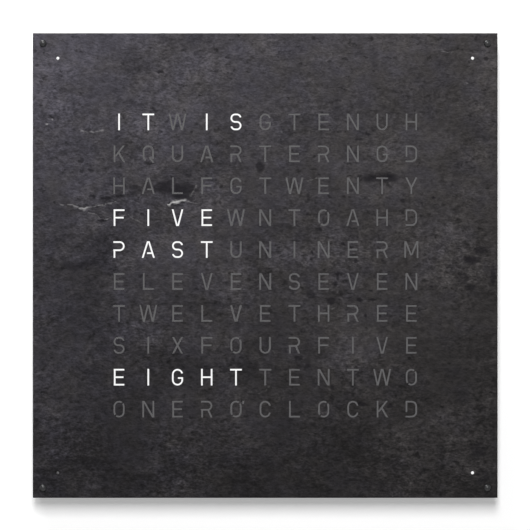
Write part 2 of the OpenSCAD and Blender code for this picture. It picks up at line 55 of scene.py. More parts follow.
# Picture: the photograph is square, and the clock is a little off its middle
PICTURE_PIXELS = 530
CLOCK_PIXELS = 464.9
CLOCK_CENTRE_PIXEL = (265.2, 265.5)
CAMERA_DISTANCE = 2.6
SENSOR_WIDTH = 36.0

# Face plate, from the CAD model
face_low, face_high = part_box("face_plate")
HALF_WIDTH = face_high.x
HALF_HEIGHT = face_high.z
FACE_FRONT = -face_low.y
FACE_BACK = -face_high.y

# Letter field, from the CAD model's LEDs
COLUMNS = 11
ROWS = 10
LED_SIZE = 5 * MM
led_low, led_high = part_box("letter_leds")
COLUMN_PITCH = (led_high.x - led_low.x - LED_SIZE) / (COLUMNS - 1)
ROW_PITCH = (led_high.z - led_low.z - LED_SIZE) / (ROWS - 1)
LED_BACK = -led_high.y
LED_HEIGHT = led_high.y - led_low.y

# Minute dots and locating pins
LENS_FOOT_RADIUS = 4 * MM
DOT_RADIUS = 1.35 * MM
DOT_HOLE_RADIUS = 1.5 * MM
PIN_RADIUS = 3.4 * MM
PIN_HOLE_RADIUS = 3.5 * MM
lens_low, lens_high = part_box("minute_lenses")
pin_low, pin_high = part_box("locating_pins")
DOT_X = lens_high.x - LENS_FOOT_RADIUS
DOT_Z = lens_high.z - LENS_FOOT_RADIUS
PIN_X = pin_high.x - PIN_RADIUS
PIN_Z = pin_high.z - PIN_RADIUS

# Words: every word needed to tell the time, filled up with letters of no meaning
WORDS = [
    "ITWISGTENUH",
    "KQUARTERNGD",
    "HALFGTWENTY",
    "FIVEWNTOAHD",
    "PASTUNINERM",
    "ELEVENSEVEN",
    "TWELVETHREE",
    "SIXFOURFIVE",
    "EIGHTTENTWO",
    "ONEROCLOCKD",
]
# Lit letters: row, first column and last column of each word of "it is five past eight"
LIT_WORDS = [(0, 0, 1), (0, 3, 4), (3, 0, 3), (4, 0, 3), (8, 0, 4)]
# The O that is followed by an apostrophe: row and column
APOSTROPHE_CELL = (9, 4)
# Three lit dots, for three minutes past five past: side and end of the face
LIT_DOTS = [(-1, 1), (1, 1), (1, -1)]

# Letters
CAP_HEIGHT = 16.1 * MM
STROKE = 1.62 * MM
INLAY_GAP = 0.05 * MM
INLAY_SUNK = 0.35 * MM
LETTER_GLOW = 0.84
LED_GLOW = 3.0
ARC_STEP = math.radians(12)

# Mesh of the slate
GRID = 1.72 * MM
EDGE_ROW = 0.45 * MM
SHARP_ANGLE = math.radians(40)
# Points closer than these are one point: in a mesh, and along a letter's outline
MERGE = 1e-6
CLOSE = 0.03 * MM


def lit_cells():
    """The cells, as (row, column), whose letters glow."""
    return {(row, column) for row, first, last in LIT_WORDS for column in range(first, last + 1)}


def cell_centre(row, column):
    x = (column - (COLUMNS - 1) / 2) * COLUMN_PITCH
    z = ((ROWS - 1) / 2 - row) * ROW_PITCH
    return x, z


# ---------------------------------------------------------------- material helper

SOCKETS = {
    "colour": "Base Color",
    "metal": "Metallic",
    "roughness": "Roughness",
    "gloss": "Specular IOR Level",
    "coat": "Coat Weight",
    "coat_roughness": "Coat Roughness",
    "clear": "Transmission Weight",
    "glow_colour": "Emission Color",
    "glow": "Emission Strength",
    "normal": "Normal",
}


def full_colour(value):
    return (*value, 1.0) if len(value) == 3 else value


class Finish:
    """A material in the making: each method adds one node and returns its output."""

    def __init__(self, name, **values):
        self.material = bpy.data.materials.new(name)
        self.material.use_nodes = True
        self.tree = self.material.node_tree
        self.shader = self.tree.nodes["Principled BSDF"]
        self.place = self.tree.nodes.new("ShaderNodeTexCoord").outputs["Object"]
        self.set(**values)

    def put(self, socket, value):
        if isinstance(value, bpy.types.NodeSocket):
            self.tree.links.new(value, socket)
        elif socket.type == "RGBA":
            socket.default_value = full_colour(value)
        else:
            socket.default_value = value

    def set(self, **values):
        for key, value in values.items():
            self.put(self.shader.inputs[SOCKETS[key]], value)

    def math(self, operation, first, second=0.0):
        node = self.tree.nodes.new("ShaderNodeMath")
        node.operation = operation
        self.put(node.inputs[0], first)
        self.put(node.inputs[1], second)
        return node.outputs[0]

    def stretched(self, size, stretch):
        """Object coordinates scaled so that a pattern's features are size times stretch."""
        node = self.tree.nodes.new("ShaderNodeVectorMath")
        node.operation = "MULTIPLY"
        self.put(node.inputs[0], self.place)
        node.inputs[1].default_value = [1 / (size * part) for part in stretch]
        return node.outputs[0]

    def noise(self, size, stretch=(1, 1, 1), detail=3.0, roughness=0.5, distortion=0.0):
        node = self.tree.nodes.new("ShaderNodeTexNoise")
        self.put(node.inputs["Vector"], self.stretched(size, stretch))
        node.inputs["Scale"].default_value = 1
        node.inputs["Detail"].default_value = detail
        node.inputs["Roughness"].default_value = roughness
        node.inputs["Distortion"].default_value = distortion
        return node.outputs["Fac"]

    def cells(self, size, stretch=(1, 1, 1), feature="F1", output="Distance"):
        node = self.tree.nodes.new("ShaderNodeTexVoronoi")
        node.feature = feature
        self.put(node.inputs["Vector"], self.stretched(size, stretch))
        node.inputs["Scale"].default_value = 1
        return node.outputs[output]

    def waves(self, size, direction, distortion=0.0):
        """Even bands across one axis, a size apart."""
        node = self.tree.nodes.new("ShaderNodeTexWave")
        node.bands_direction = direction
        self.put(node.inputs["Vector"], self.place)
        node.inputs["Scale"].default_value = math.pi / (10 * size)
        node.inputs["Distortion"].default_value = distortion
        return node.outputs["Fac"]

    def axis(self, name):
        node = self.tree.nodes.new("ShaderNodeSeparateXYZ")
        self.put(node.inputs[0], self.place)
        return node.outputs[name]

    def ramp(self, value, low, high, start=0.0, end=1.0):
        """A value that goes from start to end as the given one goes from low to high."""
        node = self.tree.nodes.new("ShaderNodeMapRange")
        self.put(node.inputs["Value"], value)
        node.inputs["From Min"].default_value = low
        node.inputs["From Max"].default_value = high
        node.inputs["To Min"].default_value = start
        node.inputs["To Max"].default_value = end
        return node.outputs["Result"]

    def mix(self, share, first, second, blend="MIX"):
        node = self.tree.nodes.new("ShaderNodeMix")
        node.data_type = "RGBA"
        node.blend_type = blend
        self.put(node.inputs[0], share)
        self.put(node.inputs[6], first)
        self.put(node.inputs[7], second)
        return node.outputs[2]

    def attribute(self, name):
        node = self.tree.nodes.new("ShaderNodeAttribute")
        node.attribute_name = name
        return node.outputs["Fac"]

    def bump(self, height, distance, normal=None):
        """Tilts the surface as if height, from 0 to 1, stood out by that distance."""
        node = self.tree.nodes.new("ShaderNodeBump")
        node.inputs["Distance"].default_value = distance
        node.inputs["Strength"].default_value = 1
        self.put(node.inputs["Height"], height)
        if normal:
            self.put(node.inputs["Normal"], normal)
        return node.outputs["Normal"]


# ---------------------------------------------------------------- materials

# Colours of the slate, and the painted light by which its tone goes lighter from the face's foot to its head and
# from its right to its left
WARM_STONE = (0.0304, 0.0278, 0.0281)
COLD_STONE = (0.0284, 0.0267, 0.0327)
# Dark stone, also the colour of the painted shade over the ledges
DARK_STONE_AND_SHADE = (0.0045, 0.0038, 0.0058)
# Pale broken stone, partly a painted highlight along the ledges
BROKEN_STONE_AND_HIGHLIGHT = (0.50, 0.49, 0.49)
STONE_PAINTED_LIGHT_FOOT_TO_HEAD = (0.69, 1.57)
STONE_PAINTED_LIGHT_LEFT_TO_RIGHT = (1.12, 0.89)
# Share of the cold colour across and up the face
BLUE_LEFT_TO_RIGHT = (0.78, 0.02)
BLUE_FOOT_TO_HEAD = (-0.15, 0.20)
# The patterns are stronger towards the foot: a power of their product, foot and head
STONE_CONTRAST = (1.5, 0.78)
# It also has smoother and rougher patches
STONE_PATCHES = (0.65, 1.35)
# Patterns of its tone: size in millimetres, stretch, fineness, roughness and spread
STONE_TONES = [
    (90, (1.3, 1, 1.0), 3, 0.5, 0.32),
    (24, (1.6, 1, 0.85), 3, 0.5, 0.24),
    (5.6, (1.3, 1, 0.9), 4, 0.62, 0.40),
    (1.7, (1.6, 1, 0.9), 2, 0.5, 0.32),
]


def slate():
    """Riven slate: faint clouds, a fine ragged grain, small pits, light cracks with painted highlights, dark
    stains with painted shade, and painted light towards its head and left.
    """
    stone = Finish("riven_slate", gloss=0.10)
    patterns = [stone.noise(size * MM, stretch, detail, roughness)
                for size, stretch, detail, roughness, _ in STONE_TONES]
    clouds, _, streaks, grain = patterns

    bluish = stone.math("ADD", stone.ramp(stone.axis("X"), -HALF_WIDTH, HALF_WIDTH, *BLUE_LEFT_TO_RIGHT),
                        stone.ramp(stone.axis("Z"), -HALF_HEIGHT, HALF_HEIGHT, *BLUE_FOOT_TO_HEAD))
    tints = stone.ramp(stone.noise(18 * MM, detail=3), 0.3, 0.7, -0.38, 0.38)
    colour = stone.mix(stone.math("ADD", tints, bluish), WARM_STONE, COLD_STONE)
    tone = 1.0
    for pattern, (*_, spread) in zip(patterns, STONE_TONES):
        tone = stone.math("MULTIPLY", tone, stone.ramp(pattern, 0.3, 0.7, 1 - spread, 1 + spread))
    height = stone.axis("Z")
    contrast = stone.ramp(height, -HALF_HEIGHT, HALF_HEIGHT, *STONE_CONTRAST)
    patches = stone.ramp(stone.noise(60 * MM, detail=2), 0.35, 0.65, *STONE_PATCHES)
    tone = stone.math("POWER", tone, stone.math("MULTIPLY", contrast, patches))
    # Painted light: the stone lighter towards the head and the left, standing in for light that falls strongest
    # on the top left
    painted_light_ramp = stone.math("MULTIPLY", stone.ramp(height, -HALF_HEIGHT, HALF_HEIGHT, *STONE_PAINTED_LIGHT_FOOT_TO_HEAD),
                         stone.ramp(stone.axis("X"), -HALF_WIDTH, HALF_WIDTH, *STONE_PAINTED_LIGHT_LEFT_TO_RIGHT))
    tone = stone.math("MULTIPLY", tone, painted_light_ramp)
    tone = stone.math("MULTIPLY", tone, stone.math("ADD", stone.attribute("patch"), 1.0))
    pits = stone.math("ADD", stone.noise(8 * MM, (1.2, 1, 0.8), detail=3, roughness=0.6),
                      stone.ramp(clouds, 0.3, 0.7, 0.04, -0.04))
    tone = stone.math("MULTIPLY", tone, stone.ramp(pits, 0.31, 0.37, 0.45, 1.0))
    colour = stone.mix(1.0, colour, tone, "MULTIPLY")

    # The vein mask is partly broken stone and partly a painted highlight along the ledges
    ragged = stone.math("ADD", stone.attribute("vein_and_highlight"), stone.ramp(streaks, 0.35, 0.65, -0.22, 0.22))
    vein_and_highlight = stone.math("MULTIPLY", stone.attribute("vein_and_highlight"), stone.ramp(ragged, 0.05, 0.30))
    # The stain mask holds dark hollows and the painted shade over the ledges
    ragged_stain_and_shade = stone.math("ADD", stone.attribute("stain_and_shade"), stone.ramp(streaks, 0.35, 0.65, 0.2, -0.2))
    stain_and_shade = stone.math("MULTIPLY", stone.attribute("stain_and_shade"), stone.ramp(ragged_stain_and_shade, 0.05, 0.35))
    colour = stone.mix(stain_and_shade, colour, DARK_STONE_AND_SHADE)
    colour = stone.mix(vein_and_highlight, colour, BROKEN_STONE_AND_HIGHLIGHT)

    rise = stone.math("ADD", stone.math("MULTIPLY", streaks, 0.75), stone.math("MULTIPLY", grain, 0.25))
    stone.set(
        colour=colour,
        roughness=stone.ramp(streaks, 0.2, 0.8, 0.80, 0.60),
        normal=stone.bump(rise, 1.0 * MM),
    )
    return stone.material


def glowing(name, strength, colour=(1.0, 1.0, 1.0)):
    """Resin or phosphor lit from behind, with a faint unevenness of its own."""
    resin = Finish(name, colour=UNLIT_GREY, roughness=0.4, glow=strength)
    cloud = resin.noise(3 * MM, detail=2)
    resin.set(glow_colour=resin.mix(cloud, colour, [0.94 * part for part in colour]))
    return resin.material


UNLIT_GREY = (0.105, 0.103, 0.106)
# Painted light on the unlit letters: lighter at the foot and darker at the head, evening out the lamps' falloff
# down the face
RESIN_PAINTED_LIGHT_FOOT_TO_HEAD = (1.16, 0.86)


def unlit_resin():
    """Translucent grey resin that fills the letters, with painted light that makes it lighter at the face's foot
    and darker at its head.
    """
    resin = Finish("unlit_resin", roughness=0.5, gloss=0.2)
    cloud = resin.noise(5 * MM, detail=3)
    grey = resin.mix(cloud, [0.88 * part for part in UNLIT_GREY], [1.12 * part for part in UNLIT_GREY])
    # Painted light: the resin's tone from the face's foot to its head
    painted_light_ramp = resin.ramp(resin.axis("Z"), -HALF_HEIGHT, HALF_HEIGHT, *RESIN_PAINTED_LIGHT_FOOT_TO_HEAD)
    resin.set(
        colour=resin.mix(1.0, grey, painted_light_ramp, "MULTIPLY"),
        normal=resin.bump(resin.noise(0.8 * MM), 0.02 * MM),
    )
    return resin.material


def painted(name, colour, roughness, grain=0.6 * MM, height=0.02 * MM, gloss=0.5):
    """Paint or moulded plastic: fine orange peel, faint smears and slightly uneven tone."""
    paint = Finish(name, gloss=gloss)
    peel = paint.noise(grain, detail=2)
    smear = paint.noise(35 * MM, (1, 1, 1.6), detail=4, distortion=0.8)
    light = [min(1.0, part * 1.12) for part in colour]
    dark = [part * 0.88 for part in colour]
    paint.set(
        colour=paint.mix(smear, dark, light),
        roughness=paint.ramp(smear, 0.3, 0.7, roughness + 0.06, roughness - 0.06),
        normal=paint.bump(peel, height),
    )
    return paint.material


def powder_coat(name, colour, roughness):
    """Textured powder coat: fine pebbles, a faint speckle and rubbed, smeared places."""
    coat = Finish(name, gloss=0.4)
    pebbles = coat.noise(0.9 * MM, detail=3, roughness=0.6)
    speckle = coat.noise(2.2 * MM, detail=2)
    smear = coat.noise(60 * MM, (1, 1, 1.8), detail=5, distortion=1.2)
    tone = coat.math("MULTIPLY", coat.ramp(speckle, 0.3, 0.7, 0.72, 1.28), coat.ramp(smear, 0.3, 0.7, 0.85, 1.2))
    coat.set(
        colour=coat.mix(1.0, colour, tone, "MULTIPLY"),
        roughness=coat.ramp(smear, 0.3, 0.7, roughness + 0.12, roughness - 0.10),
        normal=coat.bump(pebbles, 0.10 * MM),
    )
    return coat.material


def brushed(name, colour, roughness, stretch=(12, 12, 1)):
    """Bare metal with fine lines along one way and dull spots."""
    metal = Finish(name, metal=1.0)
    lines = metal.noise(0.35 * MM, stretch, detail=2)
    spots = metal.noise(4 * MM, detail=4)
    dark = [part * 0.8 for part in colour]
    metal.set(
        colour=metal.mix(metal.ramp(spots, 0.35, 0.7), dark, colour),
        roughness=metal.ramp(lines, 0.3, 0.7, roughness - 0.07, roughness + 0.09),
        normal=metal.bump(lines, 0.01 * MM),
    )
    return metal.material


def galvanised():
    """Zinc-plated steel sheet with its crystals."""
    zinc = Finish("zinc_plate", metal=1.0)
    spangle = zinc.cells(4.5 * MM, feature="F1", output="Color")
    cloud = zinc.noise(6 * MM, detail=3)
    colour = zinc.mix(spangle, (0.46, 0.48, 0.51), (0.60, 0.62, 0.65))
    zinc.set(
        colour=colour,
        roughness=zinc.ramp(cloud, 0.3, 0.7, 0.30, 0.46),
        normal=zinc.bump(cloud, 0.02 * MM),
    )
    return zinc.material


def circuit_board(name, mask, track, shine):
    """Solder mask over copper: tracks that run level and upright, and round pads."""
    board = Finish(name, gloss=0.5)
    level = board.ramp(board.waves(2.4 * MM, "Z"), 0.72, 0.80)
    upright = board.ramp(board.waves(2.4 * MM, "X"), 0.72, 0.80)
    area = board.cells(11 * MM, output="Color")
    turn = board.ramp(area, 0.48, 0.52)
    tracks = board.mix(turn, level, upright)
    pads = board.ramp(board.cells(7 * MM), 0.10, 0.08)
    colour = board.mix(tracks, mask, track)
    colour = board.mix(pads, colour, (0.62, 0.60, 0.54))
    board.set(
        colour=colour,
        metal=board.math("MULTIPLY", pads, 0.8),
        roughness=board.ramp(board.noise(9 * MM), 0.3, 0.7, shine + 0.05, shine - 0.05),
        normal=board.bump(tracks, 0.03 * MM),
    )
    return board.material


def ribbon_plastic():
    """Flat cable: one ridge for each of its wires."""
    cable = Finish("ribbon_plastic", roughness=0.45)
    ridges = cable.waves(1.27 * MM, "X")
    cloud = cable.noise(8 * MM)
    cable.set(
        colour=cable.mix(ridges, (0.22, 0.22, 0.24), (0.38, 0.38, 0.40)),
        roughness=cable.ramp(cloud, 0.3, 0.7, 0.5, 0.38),
        normal=cable.bump(ridges, 0.25 * MM),
    )
    return cable.material


def opal_acrylic():
    """Milky diffuser sheet with a fine satin surface."""
    sheet = Finish("opal_acrylic", gloss=0.5, clear=0.15)
    cloud = sheet.noise(25 * MM, detail=3)
    sheet.set(
        colour=sheet.mix(cloud, (0.72, 0.73, 0.75), (0.80, 0.81, 0.82)),
        roughness=sheet.ramp(cloud, 0.3, 0.7, 0.40, 0.50),
        normal=sheet.bump(sheet.noise(0.5 * MM), 0.01 * MM),
    )
    return sheet.material


# ---------------------------------------------------------------- letters

# A stroke is a tuple: its kind, then numbers in millimetres from the middle of the
# letter's foot, or in degrees. Each is a centre line.

TOP = (CAP_HEIGHT - STROKE / 2) / MM
FOOT = STROKE / 2 / MM
MIDDLE = 8.05
HIGH = CAP_HEIGHT / MM


def stem(x, low=0.0, high=HIGH):
    return ("stem", x, low, high)


def bar(z, left, right):
    return ("bar", z, left, right)


def leg(foot_x, head_x, low=0.0, high=HIGH):
    """A slanting stroke with level ends."""
    return ("leg", foot_x, head_x, low, high)


def arc(x, z, radius, start, end):
    """A round stroke, turning left from start to end, in degrees from the right."""
    return ("arc", x, z, radius, start, end)


ROUND = 4.55
ROUND_TOP = TOP - ROUND
ROUND_FOOT = FOOT + ROUND
BOWL = 3.95
BOWL_MIDDLE = TOP - 2 * BOWL
S_TOP = (TOP - MIDDLE) / 2
S_FOOT = (MIDDLE - FOOT) / 2
S_SIDE = 0.85

BOWL_STROKES = [
    bar(TOP, -5.5, 0.7),
    arc(0.6, TOP - BOWL, BOWL, -90, 90),
    bar(BOWL_MIDDLE, -5.5, 0.7),
    stem(-4.45, 0, BOWL_MIDDLE + FOOT),
]

LETTERS = {
    "A": [leg(-5.45, -0.42), leg(5.45, 0.42), bar(4.55, -1.2, 4.1)],
    "C": [arc(0, ROUND_TOP, ROUND, 8, 180), stem(-ROUND, ROUND_FOOT - 0.1, ROUND_TOP + 0.1),
          arc(0, ROUND_FOOT, ROUND, 180, 352)],
    "D": [stem(-4.7, 5.2), bar(TOP, -5.6, 0.3), arc(0.15, ROUND_TOP, ROUND, 0, 90),
          stem(0.15 + ROUND, ROUND_FOOT - 0.1, ROUND_TOP + 0.1),
          arc(0.15, ROUND_FOOT, ROUND, -90, 0), bar(FOOT, -5.6, 0.3)],
    "E": [stem(-4.2), bar(TOP, -5.1, 5.1), bar(MIDDLE, -4.3, 4.3), bar(FOOT, -5.1, 5.1)],
    "F": [stem(-4.4), bar(TOP, -5.3, 5.3), bar(MIDDLE, -4.5, 4.5)],
    "G": [arc(0, ROUND_TOP, ROUND, 12, 180), stem(-ROUND, ROUND_FOOT - 0.1, ROUND_TOP + 0.1),
          arc(0, ROUND_FOOT, ROUND, 180, 360), stem(ROUND, ROUND_FOOT - 0.1, MIDDLE),
          bar(MIDDLE - FOOT, 0.4, 5.3)],
    "H": [stem(-4.7), stem(4.7), bar(MIDDLE, -4.8, 4.8)],
    "I": [stem(0)],
    "K": [stem(-4.4), leg(-3.6, 4.6, 5.4), leg(4.9, -0.5, 0, 9.4)],
    "L": [stem(-4.4), bar(FOOT, -5.3, 5.3)],
    "M": [stem(-6.0), stem(6.0), leg(-0.15, -5.6, 2.4), leg(0.15, 5.6, 2.4)],
    "N": [stem(-4.9), stem(4.9), leg(4.6, -4.6)],
    "O": [arc(0, ROUND_TOP, ROUND, 54, 180), stem(-ROUND, ROUND_FOOT - 0.1, ROUND_TOP + 0.1),
          arc(0, ROUND_FOOT, ROUND, 180, 216), arc(0, ROUND_FOOT, ROUND, 234, 360),
          stem(ROUND, ROUND_FOOT - 0.1, ROUND_TOP + 0.1), arc(0, ROUND_TOP, ROUND, 0, 36)],
    "P": BOWL_STROKES,
    "Q": [arc(0, ROUND_TOP, ROUND, 0, 180), stem(-ROUND, ROUND_FOOT - 0.1, ROUND_TOP + 0.1),
          arc(0, ROUND_FOOT, ROUND, 180, 236), stem(ROUND, 3.0, ROUND_TOP + 0.1),
          leg(5.1, 1.3, -0.7, 4.6)],
    "R": BOWL_STROKES + [leg(4.6, 1.2, 0, BOWL_MIDDLE + 0.3)],
    "S": [arc(S_SIDE, TOP - S_TOP, S_TOP, 12, 90), bar(TOP, -S_SIDE - 0.1, S_SIDE + 0.1),
          arc(-S_SIDE, TOP - S_TOP, S_TOP, 90, 270), bar(MIDDLE, -S_SIDE - 0.1, S_SIDE + 0.1),
          arc(S_SIDE, FOOT + S_FOOT, S_FOOT, -90, 90), bar(FOOT, -S_SIDE - 0.1, S_SIDE + 0.1),
          arc(-S_SIDE, FOOT + S_FOOT, S_FOOT, 192, 270)],
    "T": [stem(0), bar(TOP, -5.7, 5.7)],
    "U": [stem(-ROUND, ROUND_FOOT - 0.1), stem(ROUND, ROUND_FOOT - 0.1),
          arc(0, ROUND_FOOT, ROUND, 180, 360)],
    "V": [leg(-0.45, -4.75), leg(0.45, 4.75)],
    "W": [leg(-4.4, -7.8), leg(-4.2, -0.4), leg(4.2, 0.4), leg(4.4, 7.8)],
    "X": [leg(-4.35, 4.35), leg(4.35, -4.35)],
    "Y": [stem(0, 0, 7.4), leg(-0.25, -4.9, 6.6), leg(0.25, 4.9, 6.6)],
}
APOSTROPHE = [leg(6.5, 7.3, 13.2)]


def stroke_outline(stroke, trim):
    """A stroke's corners in metres, the whole outline drawn in by trim."""
    kind, *values = stroke
    half = STROKE / 2 - trim
    if kind == "arc":
        x, z, radius = (value * MM for value in values[:3])
        start, end = (math.radians(value) for value in values[3:])
        start += trim / radius
        end -= trim / radius
        steps = max(2, round((end - start) / ARC_STEP))
        angles = [start + (end - start) * i / steps for i in range(steps + 1)]
        rim = [(x + (radius + half) * math.cos(a), z + (radius + half) * math.sin(a)) for a in angles]
        hub = [(x + (radius - half) * math.cos(a), z + (radius - half) * math.sin(a)) for a in angles]
        return rim + hub[::-1]
    if kind == "bar":
        z, left, right = (value * MM for value in values)
        left, right = left + trim, right - trim
        return [(left, z - half), (right, z - half), (right, z + half), (left, z + half)]
    if kind == "stem":
        x, low, high = (value * MM for value in values)
        values = (values[0], values[0], values[1], values[2])
    foot_x, head_x, low, high = (value * MM for value in values)
    slope = (head_x - foot_x) / (high - low)
    across = half * math.sqrt(1 + slope ** 2)
    low_x, high_x = foot_x + slope * trim, head_x - slope * trim
    low, high = low + trim, high - trim
    return [(low_x - across, low), (low_x + across, low), (high_x + across, high), (high_x - across, high)]


def triangulate(points, loops):
    """Triangles over flat points and closed loops, each with the loops that it is inside."""
    coords = [Vector(point) for point in points]
    faces = []
    for loop in loops:
        faces.append(list(range(len(coords), len(coords) + len(loop))))
        coords += [Vector(point) for point in loop]
    places, _, triangles, _, _, inside = delaunay_2d_cdt(coords, [], faces, 0, MERGE / 10, True)
    return [tuple(place) for place in places], triangles, inside


def border_edges(faces):
    """The edges, as pairs of point numbers, that belong to one face only."""
    edges = {(a, b) for face in faces for a, b in zip(face, face[1:] + face[:1])}
    return sorted(edge for edge in edges if edge[::-1] not in edges)


def border_loops(faces):
    """The closed loops of point numbers round a set of faces."""
    after = {}
    for a, b in border_edges(faces):
        after.setdefault(a, []).append(b)
    loops = []
    while after:
        loop = [next(iter(after))]
        while loop[-1] in after:
            here = loop[-1]
            loop.append(after[here].pop())
            if not after[here]:
                del after[here]
        loops.append(loop[:-1])
    return loops


def without_close_points(loop):
    kept = []
    for point in loop:
        if not kept or math.dist(point, kept[-1]) > CLOSE:
            kept.append(point)
    if math.dist(kept[0], kept[-1]) < CLOSE:
        kept.pop()
    return kept


def letter_loops(strokes, trim=0.0):
    """The outer edges of a letter, its strokes run together."""
    places, triangles, inside = triangulate([], [stroke_outline(s, trim) for s in strokes])
    filled = [list(t) for t, found in zip(triangles, inside) if found]
    return [without_close_points([places[i] for i in loop]) for loop in border_loops(filled)]


def letter_in_cell(row, column, trim=0.0):
    """A cell's letter where it stands on the face."""
    x, z = cell_centre(row, column)
    strokes = LETTERS[WORDS[row][column]]
    if (row, column) == APOSTROPHE_CELL:
        strokes = strokes + APOSTROPHE
    foot = z - CAP_HEIGHT / 2
    return [[(x + px, foot + pz) for px, pz in loop] for loop in letter_loops(strokes, trim)]


# ---------------------------------------------------------------- meshes

def new_piece(name, vertices, faces, material, body, slot, smooth=True):
    mesh = bpy.data.meshes.new(name)
    mesh.from_pydata(vertices, [], faces)
    mesh.materials.append(material)
    if smooth:
        mesh.shade_smooth()
        mesh.set_sharp_from_angle(angle=SHARP_ANGLE)
    mesh.validate()
    piece = bpy.data.objects.new(name, mesh)
    bpy.context.scene.collection.objects.link(piece)
    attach(piece, body)
    return piece


class Shell:
    """Vertices and faces that several shapes are added to, points met twice being one."""

    def __init__(self):
        self.vertices = []
        self.faces = []
        self.numbers = {}

    def point(self, x, depth, z, level=0):
        key = (round(x / MERGE), round(z / MERGE), level)
        if key not in self.numbers:
            self.numbers[key] = len(self.vertices)
            self.vertices.append((x, -depth, z))
        return self.numbers[key]

    def walls(self, front, back_depth):
        """Closes the shape from the edges of its front faces to the back's depth."""
        for a, b in border_edges(front):
            corners = [self.vertices[a], self.vertices[b]]
            back = [self.point(x, back_depth, z, 1) for x, _, z in corners]
            self.faces.append([b, a, back[0], back[1]])


def prism(shell, loops, front_depth, back_depth):
    """Adds a closed solid whose front has the given outline."""
    places, triangles, inside = triangulate([], loops)
    front = []
    for triangle, found in zip(triangles, inside):
        if found:
            corners = [places[i] for i in triangle]
            front.append([shell.point(x, front_depth, z) for x, z in corners])
            shell.faces.append([shell.point(x, back_depth, z, 1) for x, z in corners[::-1]])
    shell.faces += front
    shell.walls(front, back_depth)


def circle(x, z, radius, steps):
    turn = [2 * math.pi * i / steps for i in range(steps)]
    return [(x + radius * math.cos(a), z + radius * math.sin(a)) for a in turn]


def corners_of_face(x, z):
    return [(side * x, end * z, side, end) for side in (-1, 1) for end in (-1, 1)]


# ---------------------------------------------------------------- the slate's own marks, with painted highlights and painted shade

# Light edges of broken stone, partly painted highlights where the ledges catch the light:
# width and strength, then the points each runs through, in millimetres from the middle of the face
LIGHT_MARKS = [
    (0.9, 0.22, [(-198, 58.6), (-187, 59.2), (-179, 55.7), (-169, 56.3), (-160, 58.2), (-144, 62.0)]),
    (1.2, 0.42, [(-179.5, 55.9), (-175, 54.6), (-172.5, 55.6)]),
    (0.9, 0.20, [(-171.3, 51.4), (-164, 49.5), (-159, 45.2), (-154, 44.6), (-149, 46.4)]),
    (0.9, 0.16, [(-141.6, 46.4), (-133, 49), (-128, 44.6), (-122, 42.7)]),
    (0.8, 0.15, [(-129.5, 61.0), (-126, 62.0), (-122, 61.2)]),
    (0.9, 0.62, [(-94.5, 58.6), (-89.7, 61.0), (-84.5, 62.4), (-77.5, 63.2)]),
    (1.0, 0.95, [(-89.5, 60.8), (-86.5, 61.4), (-83.0, 62.4)]),
    (0.9, 0.50, [(-86.0, 60.2), (-83.5, 60.6)]),
    (0.9, 0.20, [(-77.5, 62.2), (-70, 60.8), (-65, 59.8)]),
    (0.9, 0.18, [(-72.0, 67.6), (-70.0, 71.3), (-68.1, 74.8), (-66.8, 77.6)]),
    (0.8, 0.11, [(-20.6, 62.6), (-12, 62.4)]),
    (1.0, 0.225, [(-178, 130.4), (-173, 129.4), (-166, 128.9), (-161, 129.5), (-157.0, 130.8)]),
    (0.8, 0.18, [(41.5, 82.2), (44.5, 82.6), (49.3, 84.8)]),
    (0.8, 0.13, [(69, 72.6), (77, 72.2), (83, 70.6), (87, 73.4)]),
    (0.8, 0.13, [(90, 64.4), (97, 65.6), (103.6, 66.2)]),
    (0.8, 0.10, [(16.4, 131), (16.9, 124), (17.2, 118)]),
    (0.8, 0.10, [(-15, -123), (-7, -123.6), (-0.7, -122.8), (3.9, -117.6)]),
    (0.8, 0.13, [(5, -80), (9, -84), (8, -88)]),
    (0.8, 0.13, [(62, -43.5), (66, -41.5), (70, -39.5)]),
    (0.8, 0.15, [(171, 207.4), (176.7, 206.2), (182, 207.2)]),
    (0.8, 0.15, [(186, 154.8), (192, 154.4)]),
    (0.8, 0.15, [(195.5, 176.2), (199.5, 175.7)]),
    (0.8, 0.10, [(-127, 139), (-119, 137.6), (-113, 138.3)]),
    (1.2, 0.34, [(-212.0, 136.6), (-210.5, 136.8)]),
    (1.1, 0.28, [(-206.5, 141.6), (-205.7, 140.9)]),
    (1.1, 0.24, [(75.4, 19.0), (75.9, 18.5)]),
]
